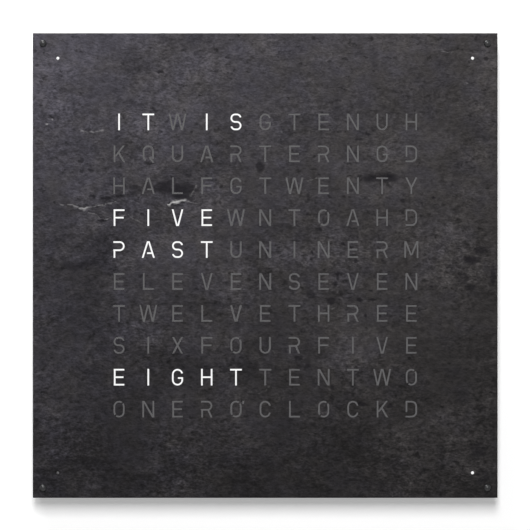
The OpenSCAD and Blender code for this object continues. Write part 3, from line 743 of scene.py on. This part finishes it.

# Dark hollows, some of them thin painted shade over the lit ledges: strength, middle, half width and half height,
# in millimetres
DARK_MARKS = [
    (0.76, -95, 75.5, 13, 7),
    (0.74, -78, 74, 13, 5.5),
    (0.50, -80, 69.5, 12, 3.5),
    (0.50, -119, 74.5, 16, 4),
    (0.45, -130, 69.5, 10, 2.2),
    (0.62, -74, 87, 3.8, 2.0),
    (0.75, -82, 66.2, 14, 1.8),
    (0.85, -154, 65.3, 6, 1.7),
    (0.80, -167.5, 67.3, 3.5, 1.3),
    (0.72, -140.5, 67, 4.5, 1.7),
    (0.88, -158, 43.2, 4.5, 1.4),
    (0.35, -176, 52.0, 9, 1.8),
    (0.50, -84, 58.6, 8, 1.4),
    (0.30, -159, 12, 9, 14),
    (0.28, -76, 22, 8, 6),
    (0.78, 119, 84.5, 11, 4.5),
    (0.76, 101, 84, 7.5, 3.6),
    (0.40, 108, 86, 20, 6.5),
    (0.56, 41.5, 67, 2.0, 5),
    (0.64, 90.5, 122, 4, 1.2),
    (0.72, 99.5, 127, 2.8, 1.4),
    (0.56, 71, 159.5, 3.5, 1.2),
    (0.56, 15.2, 121, 1.1, 4),
    (0.80, 40.9, 49, 1.8, 1.4),
    (0.80, 53.4, 34.8, 1.9, 2.6),
    (0.80, 75.2, 20.8, 2.2, 1.8),
    (0.80, 45.8, 12.6, 1.3, 1.5),
    (0.80, 87.8, 4.0, 2.0, 2.0),
    (0.72, 113.7, 4.7, 1.8, 1.6),
    (0.80, 70.3, -10, 1.8, 5),
    (0.72, 68.0, -18, 1.8, 3),
    (0.64, 44, -28, 4, 5),
    (0.72, 64, -34.5, 4, 4),
    (0.72, 102, -24.5, 2.0, 1.2),
    (0.80, 91.3, -33.3, 2.8, 1.8),
    (0.80, 103.7, -33.3, 2.8, 1.6),
    (0.72, 97, -48.4, 1.5, 2.4),
    (0.80, 161.3, -20.6, 1.8, 1.4),
    (0.80, 163.3, 65.7, 2.0, 1.5),
    (0.64, 133.3, 63, 1.8, 2.0),
    (0.64, 133.4, 51, 1.6, 2.0),
    (0.72, -5, 95, 4, 5),
    (0.88, 199, 5, 8.5, 4.6),
    (0.74, 208, 15, 6.5, 4.5),
    (0.56, 191, -13, 6.2, 8),
    (0.66, 199, -21, 6.5, 3),
    (0.60, 220.5, -10, 3, 9),
    (0.55, 206, -180, 9, 8),
    (0.40, 210, -204, 6.5, 9),
    (0.60, -184, -1, 12, 3),
    (0.66, -170, 2.5, 9, 3.8),
    (0.45, -206.0, 144.5, 4.5, 2.4),
    (0.45, -167.0, 131.4, 6.5, 1.0),
    (0.80, -101.8, 187, 3.5, 1.3),
    (0.72, -168.7, 92, 3.0, 1.6),
    (0.55, -221.5, 194.0, 2.2, 1.8),
    (0.72, 214, 200, 2.4, 2.0),
    (0.64, 93.3, -134.3, 4, 2),
    (0.64, 120.6, -136.2, 3, 2),
    (0.72, 32.5, -89, 5, 1.8),
    (0.56, 41.4, -97, 3, 3),
    (0.56, 64.9, -118.3, 2, 3),
    (0.56, 64.9, -131.8, 1.5, 4),
    (0.50, 151.6, 59.4, 1.4, 2.2),
    (0.70, 45.2, 6.7, 2.2, 1.5),
    (0.55, 71.6, 1.1, 1.5, 1.4),
    (0.45, 139.4, -31.1, 1.5, 1.4),
    (0.35, 90.0, 27.2, 1.5, 1.4),
]

# Soft lighter and darker patches: share of the tone added, middle, and half width and
# half height, in millimetres
SOFT_PATCHES = [
    (0.80, -86, 17, 48, 27),
    (0.70, -2, 124, 22, 26),
    (0.38, -52, 60, 60, 13),
    (0.45, -168, 36, 20, 14),
    (-0.38, 0, -9, 17, 22),
    (-0.22, 180, 4, 24, 15),
    (-0.15, -178, -3, 20, 9),
    (-0.40, -157, 13, 14, 11),
    (-0.25, -80, -34, 36, 11),
    (-0.25, -190, -150, 45, 34),
    (-0.30, -224, -160, 10, 26),
    (-0.22, -60, -102, 30, 20),
    (0.45, 82, -80, 42, 32),
    (0.30, 155, 108, 62, 38),
    (0.30, -185, 190, 75, 34),
    (0.22, -110, 152, 55, 13),
    (-0.24, -84, -158, 28, 20),
    (-0.16, 185, 29, 12, 9),
]

# Each light mark has a painted shadow line over it: how far up, and its strength beside the mark's
SHADE_RISE = 1.5
SHADE_SHARE = 2.2
# How far the marks wander from the lines above, and how long their waves are
WANDER = 0.9 * MM
WANDER_WAVE = 3.5 * MM

MARK_POINT_STEP = 0.8 * MM
# Half width, in millimetres, up to which a dark mark gets mesh points of its own
SMALL_PIT = 6
# How far the edge of a dark mark fades, beside its half width
HOLLOW_SOFT = 0.75
PIT_SOFT = 0.6
VEIN_RELIEF = 0.25 * MM
STAIN_RELIEF = 0.35 * MM
LEDGE_RELIEF = 0.16 * MM
WAVE_RELIEF = 0.14 * MM
EDGE_RELIEF = 0.55 * MM


def along_mark(points, step):
    """Evenly spaced points along a line through the given ones."""
    found = []
    for (x0, z0), (x1, z1) in zip(points, points[1:]):
        count = max(1, round(math.dist((x0, z0), (x1, z1)) / step))
        found += [(x0 + (x1 - x0) * i / count, z0 + (z1 - z0) * i / count) for i in range(count)]
    return found + [points[-1]]


def mark_points():
    """Extra points of the mesh, close enough together to draw thin marks and small pits."""
    found = []
    for width, _, points in LIGHT_MARKS:
        line = along_mark([(x * MM, z * MM) for x, z in points], MARK_POINT_STEP)
        for offset in (-width * MM, -width * MM / 2, 0, width * MM / 2, width * MM):
            found += [(x, z + offset) for x, z in line]
    for _, x, z, half_width, half_height in DARK_MARKS:
        if half_width <= SMALL_PIT:
            level = spaced((x - half_width) * MM, (x + half_width) * MM, MARK_POINT_STEP)
            upright = spaced((z - half_height) * MM, (z + half_height) * MM, MARK_POINT_STEP)
            found += [(px, pz) for px in level for pz in upright]
    return np.array(found)


def distance_to_segments(at, starts, ends):
    """From each of the points to the nearest of the segments."""
    along = ends - starts
    length = np.maximum((along ** 2).sum(1), 1e-18)
    away = at[:, None, :] - starts[None, :, :]
    share = np.clip((away * along[None]).sum(2) / length, 0, 1)
    return np.linalg.norm(away - share[..., None] * along[None], axis=2).min(1)


def wandering(at):
    """The points moved a little this way and that, so that marks drawn at them are ragged."""
    shifts = [noise.noise_vector(Vector((x, 0.0, z)) / WANDER_WAVE) for x, z in at]
    return at + WANDER * np.array([(shift.x, shift.z) for shift in shifts])


def marked(at, width, strength, points, rise=0.0):
    """How strongly each of the points lies on one mark, drawn so far up."""
    line = (np.array(points) + (0.0, rise)) * MM
    away = distance_to_segments(at, line[:-1], line[1:]) / (width * MM)
    return strength * np.clip(1.25 - away, 0, 1)


def light_at(at):
    """How strongly each point of the face lies on a light mark, partly a painted highlight, from 0 to 1."""
    return np.max([marked(at, *mark) for mark in LIGHT_MARKS], axis=0)


def dark_at(at):
    """How strongly each point of the face lies in a dark hollow or in painted shade over a light mark, from 0 to
    1.
    """
    kept = np.ones(len(at))
    for strength, x, z, half_width, half_height in DARK_MARKS:
        away = np.hypot((at[:, 0] / MM - x) / half_width, (at[:, 1] / MM - z) / half_height)
        soft = HOLLOW_SOFT if half_width > SMALL_PIT else PIT_SOFT
        kept *= 1 - strength * np.clip((1.3 - away) / soft, 0, 1)
    # Painted shadow lines just over the light marks
    for width, strength, points in LIGHT_MARKS:
        shade = min(0.8, strength * SHADE_SHARE)
        kept *= 1 - marked(at, width, shade, points, SHADE_RISE * width)
    return 1 - kept


def patch_at(at):
    """The share by which each point of the face is lighter or darker than the stone's tone."""
    return sum(share * np.exp(-((at[:, 0] / MM - x) / half_width) ** 2
                              - ((at[:, 1] / MM - z) / half_height) ** 2)
               for share, x, z, half_width, half_height in SOFT_PATCHES)


def relief_at(x, z):
    """How far the riven face lies below its highest plane."""
    wave = noise.fractal(Vector((x / 0.060, 3.1, z / 0.028)), 1.0, 2.0, 3)
    ledge = noise.fractal(Vector((x / 0.034, 7.7, z / 0.011)), 0.9, 2.0, 4)
    steps = ledge * 3
    part = steps - math.floor(steps)
    stepped = math.floor(steps) + min(1.0, part * 3)
    return WAVE_RELIEF * (1 + wave) + LEDGE_RELIEF * (1 + stepped / 3)


# ---------------------------------------------------------------- cover

def spaced(start, end, pitch):
    count = max(1, round((end - start) / pitch))
    return [start + (end - start) * i / count for i in range(count + 1)]


def tile_edges(half, pitch, count, dot, pin):
    """Edges of the tiles along one side: three tiles in each margin, one for each letter."""
    field = pitch * count / 2
    margin = [field, field + (dot - field) / 2, (dot + pin) / 2, half]
    inner = [-field + pitch * i for i in range(count + 1)]
    return [-edge for edge in margin[:0:-1]] + inner + margin[1:]


def tile_border(x0, x1, z0, z1, pitch):
    level, upright = spaced(x0, x1, pitch), spaced(z0, z1, pitch)
    return ([(x, z0) for x in level[:-1]] + [(x1, z) for z in upright[:-1]]
            + [(x, z1) for x in level[:0:-1]] + [(x0, z) for z in upright[:0:-1]])


def tile_points(x0, x1, z0, z1, pitch, cuts, extra):
    """Points inside a tile: a grid, a row beside the plate's edge and the marks' points."""
    columns, rows = spaced(x0, x1, pitch)[1:-1], spaced(z0, z1, pitch)[1:-1]
    if abs(x0 + HALF_WIDTH) < MERGE:
        columns.insert(0, x0 + EDGE_ROW)
    if abs(x1 - HALF_WIDTH) < MERGE:
        columns.append(x1 - EDGE_ROW)
    if abs(z0 + HALF_HEIGHT) < MERGE:
        rows.insert(0, z0 + EDGE_ROW)
    if abs(z1 - HALF_HEIGHT) < MERGE:
        rows.append(z1 - EDGE_ROW)
    grid = np.array([(x, z) for x in columns for z in rows])
    near = 0.4 * pitch
    inner = ((extra[:, 0] > x0 + near) & (extra[:, 0] < x1 - near)
             & (extra[:, 1] > z0 + near) & (extra[:, 1] < z1 - near))
    extra = extra[inner]
    if len(extra):
        gap = np.linalg.norm(grid[:, None] - extra[None], axis=2).min(1)
        grid = np.concatenate([grid[gap > 0.5 * pitch], extra])
    for loop in cuts:
        outline = np.array(loop)
        grid = grid[distance_to_segments(grid, outline, np.roll(outline, -1, 0)) > near]
    return [tuple(point) for point in grid]


def face_cuts():
    """Everything cut through the slate: letters, dot holes and pin holes, as loops."""
    cuts = []
    for row in range(ROWS):
        for column in range(COLUMNS):
            cuts += letter_in_cell(row, column)
    cuts += [circle(x, z, DOT_HOLE_RADIUS, 32) for x, z, *_ in corners_of_face(DOT_X, DOT_Z)]
    cuts += [circle(x, z, PIN_HOLE_RADIUS, 48) for x, z, *_ in corners_of_face(PIN_X, PIN_Z)]
    return cuts


def slate_front(shell, cuts, pitch):
    """The riven front, tile by tile; returns its faces."""
    edges_x = tile_edges(HALF_WIDTH, COLUMN_PITCH, COLUMNS, DOT_X, PIN_X)
    edges_z = tile_edges(HALF_HEIGHT, ROW_PITCH, ROWS, DOT_Z, PIN_Z)
    extra = mark_points()
    middles = [np.mean(loop, axis=0) for loop in cuts]
    front = []
    for x0, x1 in zip(edges_x, edges_x[1:]):
        for z0, z1 in zip(edges_z, edges_z[1:]):
            here = [loop for loop, m in zip(cuts, middles) if x0 < m[0] < x1 and z0 < m[1] < z1]
            points = tile_points(x0, x1, z0, z1, pitch, here, extra)
            loops = [tile_border(x0, x1, z0, z1, pitch)] + here
            places, triangles, inside = triangulate(points, loops)
            for triangle, found in zip(triangles, inside):
                if list(found) == [0]:
                    front.append([shell.point(places[i][0], 0, places[i][1]) for i in triangle])
    return front


def slate_face():
    """The slate plate with its letters and holes cut through, in place of the plain one."""
    shell = Shell()
    cuts = face_cuts()
    pitch = GRID
    front = slate_front(shell, cuts, pitch)
    shape_front(shell)
    shell.faces += front
    shell.walls(front, FACE_BACK)

    outline = [[(shell.vertices[i][0], shell.vertices[i][2]) for i in loop]
               for loop in border_loops(front)]
    places, triangles, inside = triangulate([], outline)
    for triangle, found in zip(triangles, inside):
        if len(found) == 1:
            corners = [places[i] for i in triangle[::-1]]
            shell.faces.append([shell.point(x, FACE_BACK, z, 1) for x, z in corners])

    piece = new_piece("slate_face", shell.vertices, shell.faces, slate(), "cover", "slate")
    at = wandering(np.array([(x, z) for x, _, z in shell.vertices]))
    # The stain mask carries painted shade, and the vein mask painted highlights, besides the stone's own marks
    for name, values in (("vein_and_highlight", light_at(at)), ("stain_and_shade", dark_at(at)), ("patch", patch_at(at))):
        layer = piece.data.attributes.new(name, "FLOAT", "POINT")
        layer.data.foreach_set("value", values.astype(np.float32))
    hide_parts("face_plate")
    return piece


def shape_front(shell):
    """Gives the front its relief: ledges, marks and a worn outer edge."""
    at = wandering(np.array([(x, z) for x, _, z in shell.vertices]))
    light, dark = light_at(at), dark_at(at)
    for i, (x, _, z) in enumerate(shell.vertices):
        depth = FACE_FRONT - relief_at(x, z) - STAIN_RELIEF * dark[i] + VEIN_RELIEF * light[i]
        if HALF_WIDTH - abs(x) < MERGE or HALF_HEIGHT - abs(z) < MERGE:
            chip = noise.noise(Vector((x / 0.006, 1.3, z / 0.006)))
            depth -= EDGE_RELIEF * (0.7 + 0.5 * chip)
        shell.vertices[i] = (x, -min(depth, FACE_FRONT), z)


def letter_inlays():
    """Resin letters in the slate: one piece of those that are lit, one of the others."""
    glow = lit_cells()
    shells = {True: Shell(), False: Shell()}
    for row in range(ROWS):
        for column in range(COLUMNS):
            lit = (row, column) in glow
            loops = letter_in_cell(row, column, INLAY_GAP)
            prism(shells[lit], loops, FACE_FRONT - INLAY_SUNK, FACE_BACK)
    lit, unlit = shells[True], shells[False]
    material = glowing("lit_resin", LETTER_GLOW)
    new_piece("lit_letters", lit.vertices, lit.faces, material, "cover", "lens", smooth=False)
    new_piece("unlit_letters", unlit.vertices, unlit.faces, unlit_resin(), "cover", "lens", smooth=False)


def lathe(profile, x, z, steps=48):
    """A turned solid about the depth at (x, z), from (radius, depth) points, closed at its ends."""
    vertices, faces = [], []
    for radius, depth in profile:
        for i in range(steps):
            a = 2 * math.pi * i / steps
            vertices.append((x + radius * math.cos(a), -depth, z + radius * math.sin(a)))
    for ring in range(len(profile) - 1):
        for i in range(steps):
            a, b = ring * steps + i, ring * steps + (i + 1) % steps
            faces.append([a, b, b + steps, a + steps])
    faces.append(list(range(steps))[::-1])
    faces.append([(len(profile) - 1) * steps + i for i in range(steps)])
    return vertices, faces


def joined(parts):
    """Several (vertices, faces) as one."""
    vertices, faces = [], []
    for part_vertices, part_faces in parts:
        start = len(vertices)
        vertices += part_vertices
        faces += [[start + i for i in face] for face in part_faces]
    return vertices, faces


def lens_profile():
    """A light pipe: chamfered foot, a small fillet, the stem and a domed tip."""
    foot, tip = -lens_high.y, -lens_low.y
    chamfer = 0.3 * MM
    dome = 0.35 * MM
    points = [(LENS_FOOT_RADIUS - chamfer, foot), (LENS_FOOT_RADIUS, foot + chamfer),
              (LENS_FOOT_RADIUS, FACE_BACK - chamfer), (LENS_FOOT_RADIUS - chamfer, FACE_BACK - 0.02 * MM),
              (DOT_RADIUS, FACE_BACK - 0.02 * MM), (DOT_RADIUS, tip - dome)]
    for i in range(1, 6):
        a = math.pi / 2 * i / 6
        points.append((DOT_RADIUS * math.cos(a), tip - dome + dome * math.sin(a)))
    return points


def minute_lenses():
    """The four light pipes of the minute dots."""
    lit, unlit = [], []
    for x, z, side, end in corners_of_face(DOT_X, DOT_Z):
        (lit if (side, end) in LIT_DOTS else unlit).append(lathe(lens_profile(), x, z))
    material = glowing("lit_lens", LETTER_GLOW)
    piece = new_piece("lit_minute_lenses", *joined(lit), material, "cover", "lens")
    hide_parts("minute_lenses")
    new_piece("unlit_minute_lens", *joined(unlit), unlit_resin(), "cover", "lens")


# ---------------------------------------------------------------- LEDs and leads

LED_WELL = 0.8
LED_CHAMFER = 0.25 * MM
LED_PAD = (1.1 * MM, 0.9 * MM, 0.12 * MM)


def led_body(x, z, size, height):
    """Square package: chamfered rim, a round conical well and a flat bottom."""
    steps = 32
    half = size / 2
    top, floor = LED_BACK + height, LED_BACK + height * 0.45

    def square(reach, depth):
        ring = []
        for i in range(steps):
            a = 2 * math.pi * i / steps + math.pi / steps
            c, s = math.cos(a), math.sin(a)
            scale = reach / max(abs(c), abs(s))
            ring.append((x + c * scale, -depth, z + s * scale))
        return ring

    def round_ring(radius, depth):
        turn = [2 * math.pi * i / steps + math.pi / steps for i in range(steps)]
        return [(x + radius * math.cos(a), -depth, z + radius * math.sin(a)) for a in turn]

    rings = [square(half, LED_BACK), square(half, top - LED_CHAMFER), square(half - LED_CHAMFER, top),
             round_ring(half * LED_WELL, top), round_ring(half * LED_WELL * 0.82, floor)]
    vertices = [point for ring in rings for point in ring]
    faces = [list(range(steps))[::-1], [(len(rings) - 1) * steps + i for i in range(steps)]]
    for r in range(len(rings) - 1):
        for i in range(steps):
            a, b = r * steps + i, r * steps + (i + 1) % steps
            faces.append([a, b, b + steps, a + steps])
    return vertices, faces


def led_phosphor(x, z, size, height):
    """The domed fill of the well."""
    radius = size / 2 * LED_WELL * 0.9
    low, high = LED_BACK + height * 0.47, LED_BACK + height * 0.93
    profile = [(radius, low), (radius, high - 0.1 * MM), (radius * 0.8, high - 0.02 * MM), (radius * 0.4, high)]
    return lathe(profile, x, z, 24)


def led_pads(x, z, size):
    """Solder at the two sides of a package: low wedges on the board."""
    width, reach, height = LED_PAD
    parts = []
    for side in (-1, 1):
        for offset in (-size / 4, size / 4):
            inner, outer = x + side * (size / 2 - 0.05 * MM), x + side * (size / 2 + reach)
            low, high = z + offset - width / 2, z + offset + width / 2
            base, rise = -LED_BACK, -(LED_BACK + 4 * height)
            lip = -(LED_BACK + height / 2)
            vertices = [(inner, base, low), (inner, base, high), (outer, base, high), (outer, base, low),
                        (inner, rise, low), (inner, rise, high), (outer, lip, high), (outer, lip, low)]
            faces = [[0, 1, 2, 3], [4, 7, 6, 5], [0, 4, 5, 1], [2, 6, 7, 3], [1, 5, 6, 2], [0, 3, 7, 4]]
            parts.append((vertices, faces))
    return joined(parts)


def led_group(kind, places, size, replaced):
    """Packages, solder and phosphor at the given (x, z, lit) places."""
    package = painted(kind + "_package", (0.78, 0.76, 0.70), 0.5, grain=0.3 * MM, height=0.01 * MM)
    solder = brushed(kind + "_solder", (0.62, 0.62, 0.62), 0.3, (1, 1, 1))
    bodies = joined([led_body(x, z, size, LED_HEIGHT) for x, z, _ in places])
    piece = new_piece(kind + "_packages", *bodies, package, "housing", "led")
    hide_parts(replaced)
    pads = joined([led_pads(x, z, size) for x, z, _ in places])
    new_piece(kind + "_solder", *pads, solder, "housing", "led", smooth=False)
    lit = joined([led_phosphor(x, z, size, LED_HEIGHT) for x, z, on in places if on])
    new_piece(kind + "_lit_phosphor", *lit, glowing(kind + "_glow", LED_GLOW), "housing", "led")
    unlit = joined([led_phosphor(x, z, size, LED_HEIGHT) for x, z, on in places if not on])
    phosphor = painted(kind + "_phosphor", (0.72, 0.55, 0.10), 0.35, grain=0.2 * MM, height=0.01 * MM)
    new_piece(kind + "_unlit_phosphor", *unlit, phosphor, "housing", "led")


def leds():
    glow = lit_cells()
    cells = [(row, column) for row in range(ROWS) for column in range(COLUMNS)]
    places = [(*cell_centre(*cell), cell in glow) for cell in cells]
    led_group("letter_led", places, LED_SIZE, "letter_leds")
    dots = [(x, z, (side, end) in LIT_DOTS) for x, z, side, end in corners_of_face(DOT_X, DOT_Z)]
    dot_low, dot_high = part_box("corner_leds")
    dot_size = dot_high.x - dot_low.x - 2 * DOT_X
    led_group("dot_led", dots, dot_size, "corner_leds")


LEAD_CORES = 3
LEAD_WIDTH = 4.2 * MM
# From the LED board's corner to where the run begins, and what is trimmed off its two ends
LEAD_INSET = 6 * MM
LEAD_START = 3 * MM
LEAD_STOP = 6 * MM
LEAD_STEPS = 16


def corner_leads():
    """Flat three-core leads in their channels: a lobed section run from board to board."""
    low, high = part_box("corner_leads")
    middle, radius = -(low.y + high.y) / 2, (high.y - low.y) / 2
    pitch = (LEAD_WIDTH - 2 * radius) / (LEAD_CORES - 1)
    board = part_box("led_board")[1]
    corner = Vector((board.x - LEAD_INSET, 0, board.z - LEAD_INSET))
    run = Vector((DOT_X, 0, DOT_Z)) - corner
    first = corner + run.normalized() * LEAD_START
    last = corner + run - run.normalized() * LEAD_STOP
    across = Vector((-run.z, 0, run.x)).normalized()
    turn = [2 * math.pi * i / LEAD_STEPS for i in range(LEAD_STEPS)]
    parts = []
    for _, _, side, end in corners_of_face(1, 1):
        for core in range(LEAD_CORES):
            centre = (core - (LEAD_CORES - 1) / 2) * pitch
            vertices = []
            for place in (first, last):
                for a in turn:
                    point = place + across * (centre + radius * math.cos(a))
                    depth = middle + radius * math.sin(a)
                    vertices.append((side * point.x, -depth, end * point.z))
            faces = [[i, (i + 1) % LEAD_STEPS, LEAD_STEPS + (i + 1) % LEAD_STEPS, LEAD_STEPS + i]
                     for i in range(LEAD_STEPS)]
            faces += [list(range(LEAD_STEPS))[::-1], [LEAD_STEPS + i for i in range(LEAD_STEPS)]]
            if side * end > 0:
                faces = [face[::-1] for face in faces]
            parts.append((vertices, faces))
    vinyl = painted("lead_vinyl", (0.58, 0.58, 0.56), 0.42, grain=0.8 * MM)
    piece = new_piece("flat_leads", *joined(parts), vinyl, "housing", "lead")
    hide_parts("corner_leads")


# ---------------------------------------------------------------- finishes of the CAD nodes

def node_finishes():
    """The material of each CAD node that is shown as it is."""
    cover_black = painted("cover_black", (0.018, 0.018, 0.020), 0.38)
    lacquer = powder_coat("housing_coat", (0.022, 0.022, 0.024), 0.42)
    pin_black = painted("pin_black", (0.008, 0.008, 0.009), 0.33, grain=0.5 * MM, height=0.004 * MM, gloss=0.41)
    nickel = brushed("nickel_plate", (0.60, 0.60, 0.62), 0.22, (1, 1, 1))
    steel = brushed("keeper_steel", (0.56, 0.57, 0.59), 0.34, (12, 12, 1))
    screw = brushed("screw_steel", (0.50, 0.51, 0.53), 0.32, (1, 1, 1))
    brass = brushed("contact_brass", (0.72, 0.58, 0.30), 0.26, (1, 1, 8))
    zinc = galvanised()
    slat = painted("slat_white", (0.74, 0.74, 0.73), 0.6, grain=0.7 * MM, height=0.03 * MM)
    white_board = circuit_board("white_board", (0.70, 0.71, 0.69), (0.62, 0.64, 0.63), 0.35)
    green_board = circuit_board("green_board", (0.010, 0.085, 0.040), (0.022, 0.150, 0.070), 0.30)
    black_plastic = painted("socket_black", (0.015, 0.015, 0.017), 0.45)
    chip = painted("chip_black", (0.012, 0.012, 0.014), 0.62, grain=0.25 * MM, height=0.02 * MM)
    sensor = painted("sensor_glass", (0.030, 0.035, 0.050), 0.12)
    capacitor = brushed("capacitor_can", (0.42, 0.44, 0.50), 0.30, (1, 1, 1))
    button = painted("button_plastic", (0.016, 0.016, 0.018), 0.36)
    plunger = painted("plunger_plastic", (0.70, 0.66, 0.58), 0.48)
    back_paint = powder_coat("back_cover_coat", (0.026, 0.026, 0.028), 0.50)
    finishes = {
        cover_black: ["cover_frame"],
        opal_acrylic(): ["diffuser_panel"],
        steel: ["keeper_discs"],
        lacquer: ["housing"],
        pin_black: ["locating_pins"],
        nickel: ["magnets", "clock_crystal", "coin_cell"],
        slat: ["column_slats", "row_slats"],
        white_board: ["led_board", "corner_boards"],
        sensor: ["light_sensor"],
        screw: ["led_board_screws", "control_board_screws", "back_cover_screws", "hanger_screws"],
        black_plastic: ["led_socket", "control_socket", "power_inlet", "cell_holder", "tact_switches"],
        ribbon_plastic(): ["ribbon_cable"],
        green_board: ["control_board"],
        chip: ["microcontroller", "led_drivers"],
        capacitor: ["filter_capacitor"],
        brass: ["inlet_pin"],
        back_paint: ["back_cover"],
        zinc: ["keyhole_hangers"],
        button: ["mode_button", "hour_button", "minute_button", "brightness_button"],
        plunger: ["mode_plunger", "hour_plunger", "minute_plunger", "brightness_plunger"],
    }
    return [(node, material) for material, nodes in finishes.items() for node in nodes]


def dress_nodes():
    for node, material in node_finishes():
        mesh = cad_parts[node].data
        mesh.materials.clear()
        mesh.materials.append(material)


# ---------------------------------------------------------------- stage, lamps and camera

WALL_BEHIND = 0.5 * MM
WALL_SIZE = 6.0
FLOOR_DROP = 1.1
WALL_COLOUR = (0.96, 0.96, 0.96)
WALL_LIFT = 0.32


def sheet(name, corners, material):
    mesh = bpy.data.meshes.new(name)
    mesh.from_pydata(corners, [], [[0, 1, 2, 3]])
    mesh.materials.append(material)
    piece = bpy.data.objects.new(name, mesh)
    bpy.context.scene.collection.objects.link(piece)
    return piece


def seen_rays(tree):
    """1 for rays that show the backdrop: the camera's own, and those by gloss or through glass."""
    path = tree.nodes.new("ShaderNodeLightPath")
    total = path.outputs["Is Camera Ray"]
    for name in ("Is Glossy Ray", "Is Transmission Ray"):
        add = tree.nodes.new("ShaderNodeMath")
        add.operation = "ADD"
        add.use_clamp = True
        tree.links.new(total, add.inputs[0])
        tree.links.new(path.outputs[name], add.inputs[1])
        total = add.outputs[0]
    return total


def stage_paint():
    """White paint, lifted to white where it is seen, and clear from behind."""
    paint = Finish("stage_paint", roughness=0.9, gloss=0.1)
    tree = paint.tree
    cloud = paint.noise(0.5)
    paint.set(colour=paint.mix(cloud, WALL_COLOUR, [0.98 * part for part in WALL_COLOUR]))
    paint.set(glow_colour=(1, 1, 1), glow=paint.math("MULTIPLY", seen_rays(tree), WALL_LIFT))
    clear = tree.nodes.new("ShaderNodeBsdfTransparent")
    side = tree.nodes.new("ShaderNodeNewGeometry").outputs["Backfacing"]
    choice = tree.nodes.new("ShaderNodeMixShader")
    tree.links.new(side, choice.inputs[0])
    tree.links.new(paint.shader.outputs[0], choice.inputs[1])
    tree.links.new(clear.outputs[0], choice.inputs[2])
    tree.links.new(choice.outputs[0], tree.nodes["Material Output"].inputs["Surface"])
    return paint.material


def make_stage():
    half, floor = WALL_SIZE / 2, -FLOOR_DROP
    paint = stage_paint()
    wall = sheet("wall", [(-half, WALL_BEHIND, floor), (half, WALL_BEHIND, floor),
                          (half, WALL_BEHIND, floor + WALL_SIZE), (-half, WALL_BEHIND, floor + WALL_SIZE)], paint)
    ground = sheet("floor", [(-half, -half, floor), (half, -half, floor),
                             (half, half, floor), (-half, half, floor)], paint)
    for piece in (wall, ground):
        piece.visible_shadow = False
        piece.visible_diffuse = False


FILL_STRENGTH = 0.11


def make_world():
    """A soft white studio: even fill on the object, white where it is seen."""
    world = bpy.data.worlds.new("studio")
    world.use_nodes = True
    tree = world.node_tree
    background = tree.nodes["Background"]
    background.inputs["Color"].default_value = (1, 1, 1, 1)
    strength = tree.nodes.new("ShaderNodeMapRange")
    tree.links.new(seen_rays(tree), strength.inputs["Value"])
    strength.inputs["To Min"].default_value = FILL_STRENGTH
    strength.inputs["To Max"].default_value = 1.0
    tree.links.new(strength.outputs["Result"], background.inputs["Strength"])
    bpy.context.scene.world = world


# Lamps: name, place, width, height and power
LAMPS = [
    ("key_lamp", (-0.02, -2.75, 1.42), 0.85, 1.60, 74.0),
    ("rake_lamp", (-0.466, -0.33, 1.266), 0.68, 0.40, 16.0),
    ("back_lamp_left", (-1.1, 1.5, 0.9), 1.0, 1.0, 22.0),
    ("back_lamp_right", (1.3, 1.4, 0.5), 1.0, 1.0, 14.0),
    ("under_lamp", (0.3, -0.5, -1.4), 0.9, 0.9, 1.0),
]


def make_lamps():
    for name, place, width, height, power in LAMPS:
        lamp = bpy.data.lights.new(name, "AREA")
        lamp.shape = "RECTANGLE"
        lamp.size = width
        lamp.size_y = height
        lamp.energy = power
        piece = bpy.data.objects.new(name, lamp)
        piece.location = place
        piece.rotation_euler = Vector(place).to_track_quat("Z", "Y").to_euler()
        bpy.context.scene.collection.objects.link(piece)


def make_camera():
    """Straight on to the face, the clock as large and as placed as in the photograph."""
    pixel = 2 * HALF_WIDTH / CLOCK_PIXELS
    view = PICTURE_PIXELS * pixel
    middle = PICTURE_PIXELS / 2
    camera = bpy.data.cameras.new("camera")
    camera.sensor_width = SENSOR_WIDTH
    camera.lens = SENSOR_WIDTH * CAMERA_DISTANCE / view
    piece = bpy.data.objects.new("camera", camera)
    piece.location = ((middle - CLOCK_CENTRE_PIXEL[0]) * pixel, -FACE_FRONT - CAMERA_DISTANCE,
                      (CLOCK_CENTRE_PIXEL[1] - middle) * pixel)
    piece.rotation_euler = (math.pi / 2, 0, 0)
    bpy.context.scene.collection.objects.link(piece)
    bpy.context.scene.camera = piece
    bpy.context.scene.view_settings.view_transform = "Standard"


make_camera()
make_world()
make_stage()
make_lamps()
dress_nodes()
slate_face()
letter_inlays()
minute_lenses()
leds()
corner_leads()
